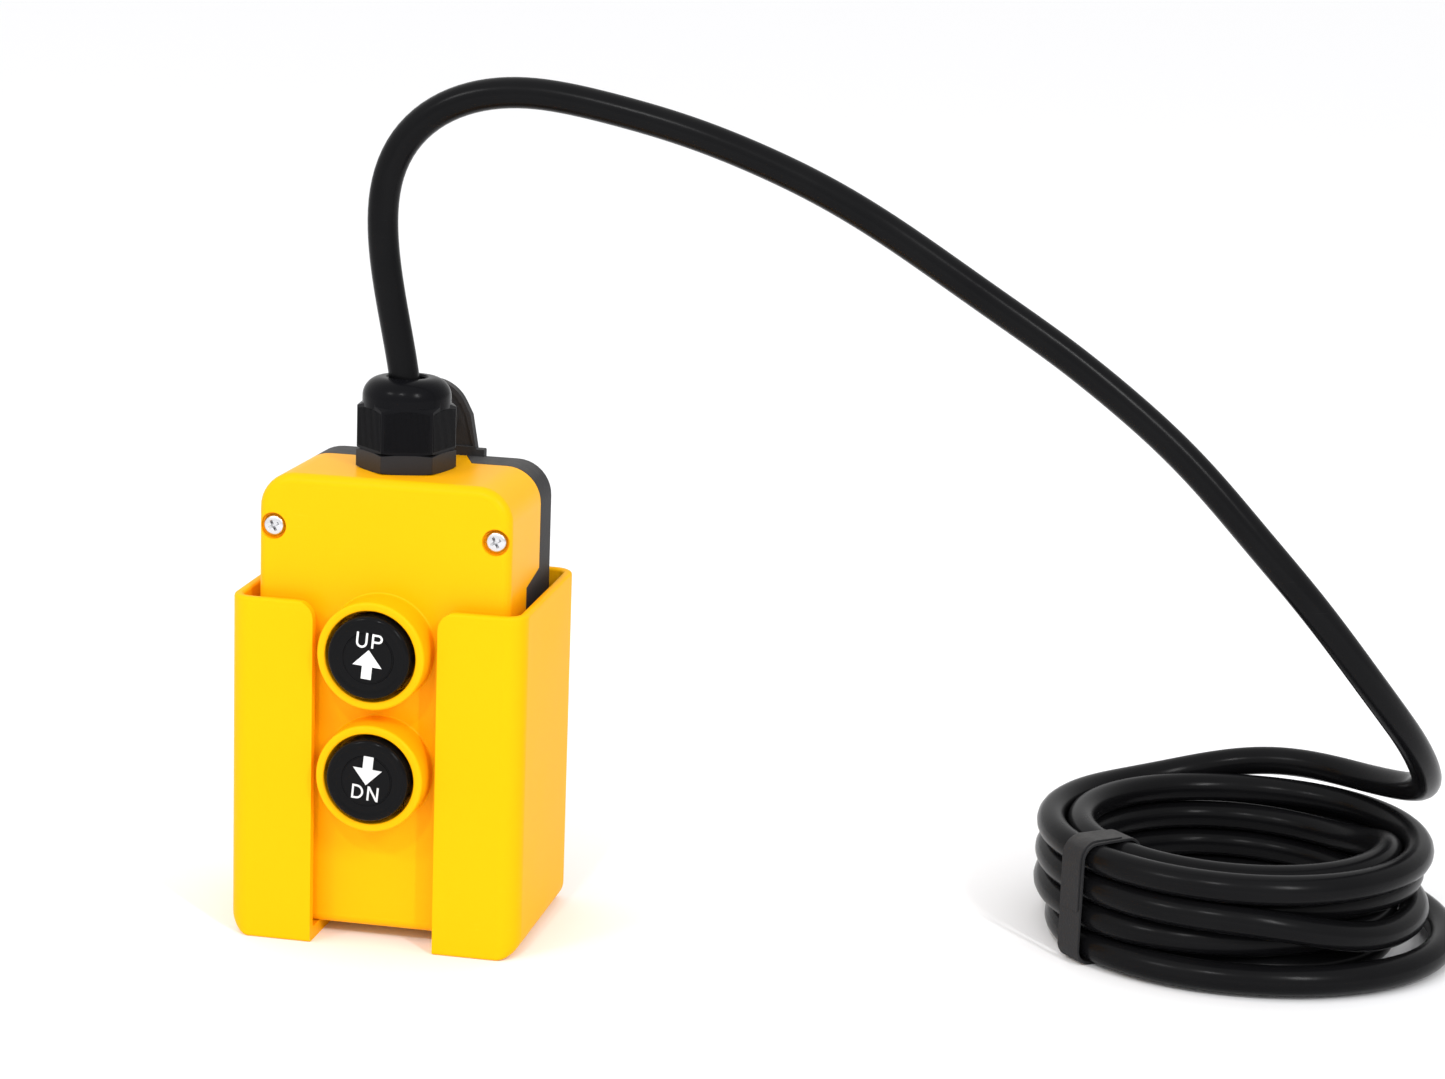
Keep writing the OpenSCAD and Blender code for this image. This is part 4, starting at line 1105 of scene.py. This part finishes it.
# %% The nut's grip ribs
def make_grip_ribs():
    tree, given, out = start_group(
        "grip_ribs",
        [("Rib", OBJECT, None), ("Count", INTEGER, 19), ("Pitch", FLOAT, 0.00065), ("Flat", FLOAT, 0.012),
         ("Drop", FLOAT, 90.0), ("Finish", FINISH, None)], [("Geometry", GEOMETRY)], "GeometryNodeTree")
    half_row = calc(tree, "MULTIPLY_ADD", given.outputs["Count"], -0.5, 0.5)
    begin = vector_of(tree, X=calc(tree, "MULTIPLY", half_row, given.outputs["Pitch"]),
                      Y=calc(tree, "MULTIPLY", given.outputs["Flat"], -1.0))
    row = add_node(tree, "GeometryNodeMeshLine", Count=given.outputs["Count"], Start_Location=begin,
                   Offset=vector_of(tree, X=given.outputs["Pitch"]))
    # ribs near a corner are shorter, because the nut's top is turned down there
    place_on_row = add_node(tree, "GeometryNodeInputPosition")
    split = add_node(tree, "ShaderNodeSeparateXYZ", Vector=place_on_row.outputs[0])
    squared = calc(tree, "POWER", split.outputs["X"], 2.0)
    lost = calc(tree, "MULTIPLY", squared, given.outputs["Drop"])
    height = vector_of(tree, X=1.0, Y=1.0, Z=calc(tree, "SUBTRACT", 1.0, lost))
    one_flat = copies(tree, row.outputs[0], shape_of(tree, given.outputs["Rib"]), Scale=height)
    six = add_node(tree, "GeometryNodeMeshLine", Count=6, Offset=(0, 0, 0))
    index = add_node(tree, "GeometryNodeInputIndex")
    spin = vector_of(tree, Z=calc(tree, "MULTIPLY", index.outputs[0], math.radians(60)))
    close_tree(tree, copies(tree, six.outputs[0], one_flat, Rotation=spin), given, out)
    return tree


RIB_LOW, RIB_HIGH = NUT_Z + 0.9, DOME_Z - 1.15
rib_profile = [(-0.21, 0.25), (-0.21, 0.05), (-0.12, -0.12), (0.12, -0.12), (0.21, 0.05), (0.21, 0.25)]
rib = extruded("rib", rib_profile, 0, RIB_HIGH - RIB_LOW)
ribs = run_tree(make_grip_ribs(), "ribs", {
    "Rib": rib, "Count": 19, "Pitch": 0.65 * MM, "Flat": (FLATS / 2 - 0.1) * MM, "Drop": 1900.0,
    "Finish": finishes["gland_black"]})
bpy.data.objects.remove(rib)
move(ribs, gland_place @ Matrix.Translation((0, 0, RIB_LOW)))
nut = join("gland_nut_ribbed", [nut, ribs])
finish_piece(nut, finishes["gland_black"], "pendant", ["gland_nut"])


# %% [markdown]
# ## Return springs
# Each button is pushed back by a small coil spring between its contact bridge and the
# carrier. A spiral curve given a round section makes it.

# %% Spring tree
def make_spring_tree():
    tree, given, out = start_group(
        "return_spring", [("Turns", FLOAT, 6.0), ("Radius", FLOAT, 0.003), ("Length", FLOAT, 0.012),
                          ("Wire", FLOAT, 0.00035), ("Finish", FINISH, None)],
        [("Geometry", GEOMETRY)], "GeometryNodeTree")
    radius = given.outputs["Radius"]
    spiral = add_node(tree, "GeometryNodeCurveSpiral", Resolution=28, Rotations=given.outputs["Turns"],
                      Start_Radius=radius, End_Radius=radius, Height=given.outputs["Length"])
    section = add_node(tree, "GeometryNodeCurvePrimitiveCircle", Resolution=10,
                       Radius=given.outputs["Wire"])
    wire = add_node(tree, "GeometryNodeCurveToMesh", Curve=spiral.outputs[0],
                    Profile_Curve=section.outputs[0], Fill_Caps=True)
    close_tree(tree, wire.outputs[0], given, out)
    return tree


spring_tree = make_spring_tree()
SPRING_START, SPRING_END, WIRE, SPRING_R, TRAVEL = 22.35, 34.65, 0.35, 3.0, 3.5
for name in ("up", "down"):
    spring = run_tree(spring_tree, name + "_spring", {
        "Turns": 6.0, "Radius": SPRING_R * MM, "Length": (SPRING_END - SPRING_START) * MM,
        "Wire": WIRE * MM, "Finish": finishes["zinc_steel"]})
    move(spring, facing(0, CASE_Y + SPRING_START, BUTTON_Z[name]))
    finish_piece(spring, finishes["zinc_steel"], "pendant", [name + "_return_spring"])
    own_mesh(spring)


# %% [markdown]
# ## Inner parts
# The parts inside keep their CAD shapes and get real finishes.

# %% Finishes for the CAD nodes that stay
KEPT = {
    "rubber_black": ["cover_gasket", "up_seal_ring", "down_seal_ring", "gland_seal", "gland_washer"],
    "brass": ["threaded_inserts", "up_contact_bridge", "down_contact_bridge", "up_fixed_contacts",
              "down_fixed_contacts", "plug_sockets"],
    "zinc_steel": ["up_retaining_clip", "down_retaining_clip", "carrier_screws", "terminal_screws",
                   "wire_lugs"],
    "block_ivory": ["up_contact_block", "down_contact_block"],
    "plunger_white": ["up_plunger", "down_plunger"],
    "carrier_grey": ["contact_carrier"],
    "core_insulation": ["core_wires"],
    "gland_black": ["gland_locknut"],
    "cord_jacket": ["cord_through_gland"],
    "seal_orange": ["plug_seal"],
}
for slot, nodes in KEPT.items():
    for node in nodes:
        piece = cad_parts[node]
        piece.data.materials.clear()
        piece.data.materials.append(finishes[slot])
print(sum(len(nodes) for nodes in KEPT.values()), "CAD nodes keep their shape")


# %% [markdown]
# ## Floor and light
# A plain white floor and white surroundings, as in a light tent that is brighter on its upper
# left. A soft panel there and one on the right draw the edges' streaks, and one small lamp
# near the lens gives the bright points on the gland, the screws and the cord.

# %% Floor
def make_floor():
    far = 12.0
    corners = [(-far, -far, 0), (far, -far, 0), (far, far, 0), (-far, far, 0)]
    mesh = bpy.data.meshes.new("floor")
    mesh.from_pydata(corners, [], [(0, 1, 2, 3)])
    floor = add_object("floor", mesh)
    paper = bpy.data.materials.new("paper")
    paper.use_nodes = True
    surface = paper.node_tree.nodes["Principled BSDF"]
    surface.inputs["Base Color"].default_value = (0.93, 0.93, 0.94, 1)
    surface.inputs["Roughness"].default_value = 0.9
    surface.inputs["Specular IOR Level"].default_value = 0.1
    mesh.materials.append(paper)


make_floor()


# %% Light
def panel(name, place, aim, width, height, power, colour=(1, 1, 1)):
    """A soft panel at a place, facing another."""
    light = bpy.data.lights.new(name, "AREA")
    light.shape, light.size, light.size_y = "RECTANGLE", width, height
    light.energy, light.color = power, colour
    lamp = add_object(name, light)
    lamp.location = place
    lamp.rotation_mode = "QUATERNION"
    lamp.rotation_quaternion = (Vector(aim) - Vector(place)).to_track_quat("-Z", "Y")


MIDDLE = (0.08, 0.0, 0.10)
panel("key", (-0.9, -1.3, 1.3), MIDDLE, 0.3, 0.14, 5.0)
panel("edge", (1.1, -1.1, 1.1), MIDDLE, 0.07, 0.5, 10.0)
panel("sparkle", (0.0, -1.3, 1.2), MIDDLE, 0.045, 0.028, 4.5)


def make_surroundings(key_side, low, high):
    """White all round, brighter towards the key side and dimmer away from it."""
    world = bpy.data.worlds.new("surroundings")
    world.use_nodes = True
    tree = world.node_tree
    way = add_node(tree, "ShaderNodeTexCoord")
    lean = add_node(tree, "ShaderNodeVectorMath", _operation="DOT_PRODUCT")
    lean.inputs[1].default_value = Vector(key_side).normalized()
    feed(tree, way.outputs["Generated"], lean.inputs[0])
    glow = span(tree, lean.outputs["Value"], -1.0, 1.0, low, high)
    feed(tree, glow, tree.nodes["Background"].inputs["Strength"])
    tree.nodes["Background"].inputs["Color"].default_value = (1, 1, 1, 1)
    return world


world = make_surroundings((-0.45, -0.5, 0.75), 0.55, 1.24)
bpy.context.scene.world = world
bpy.context.scene.view_settings.view_transform = "Standard"
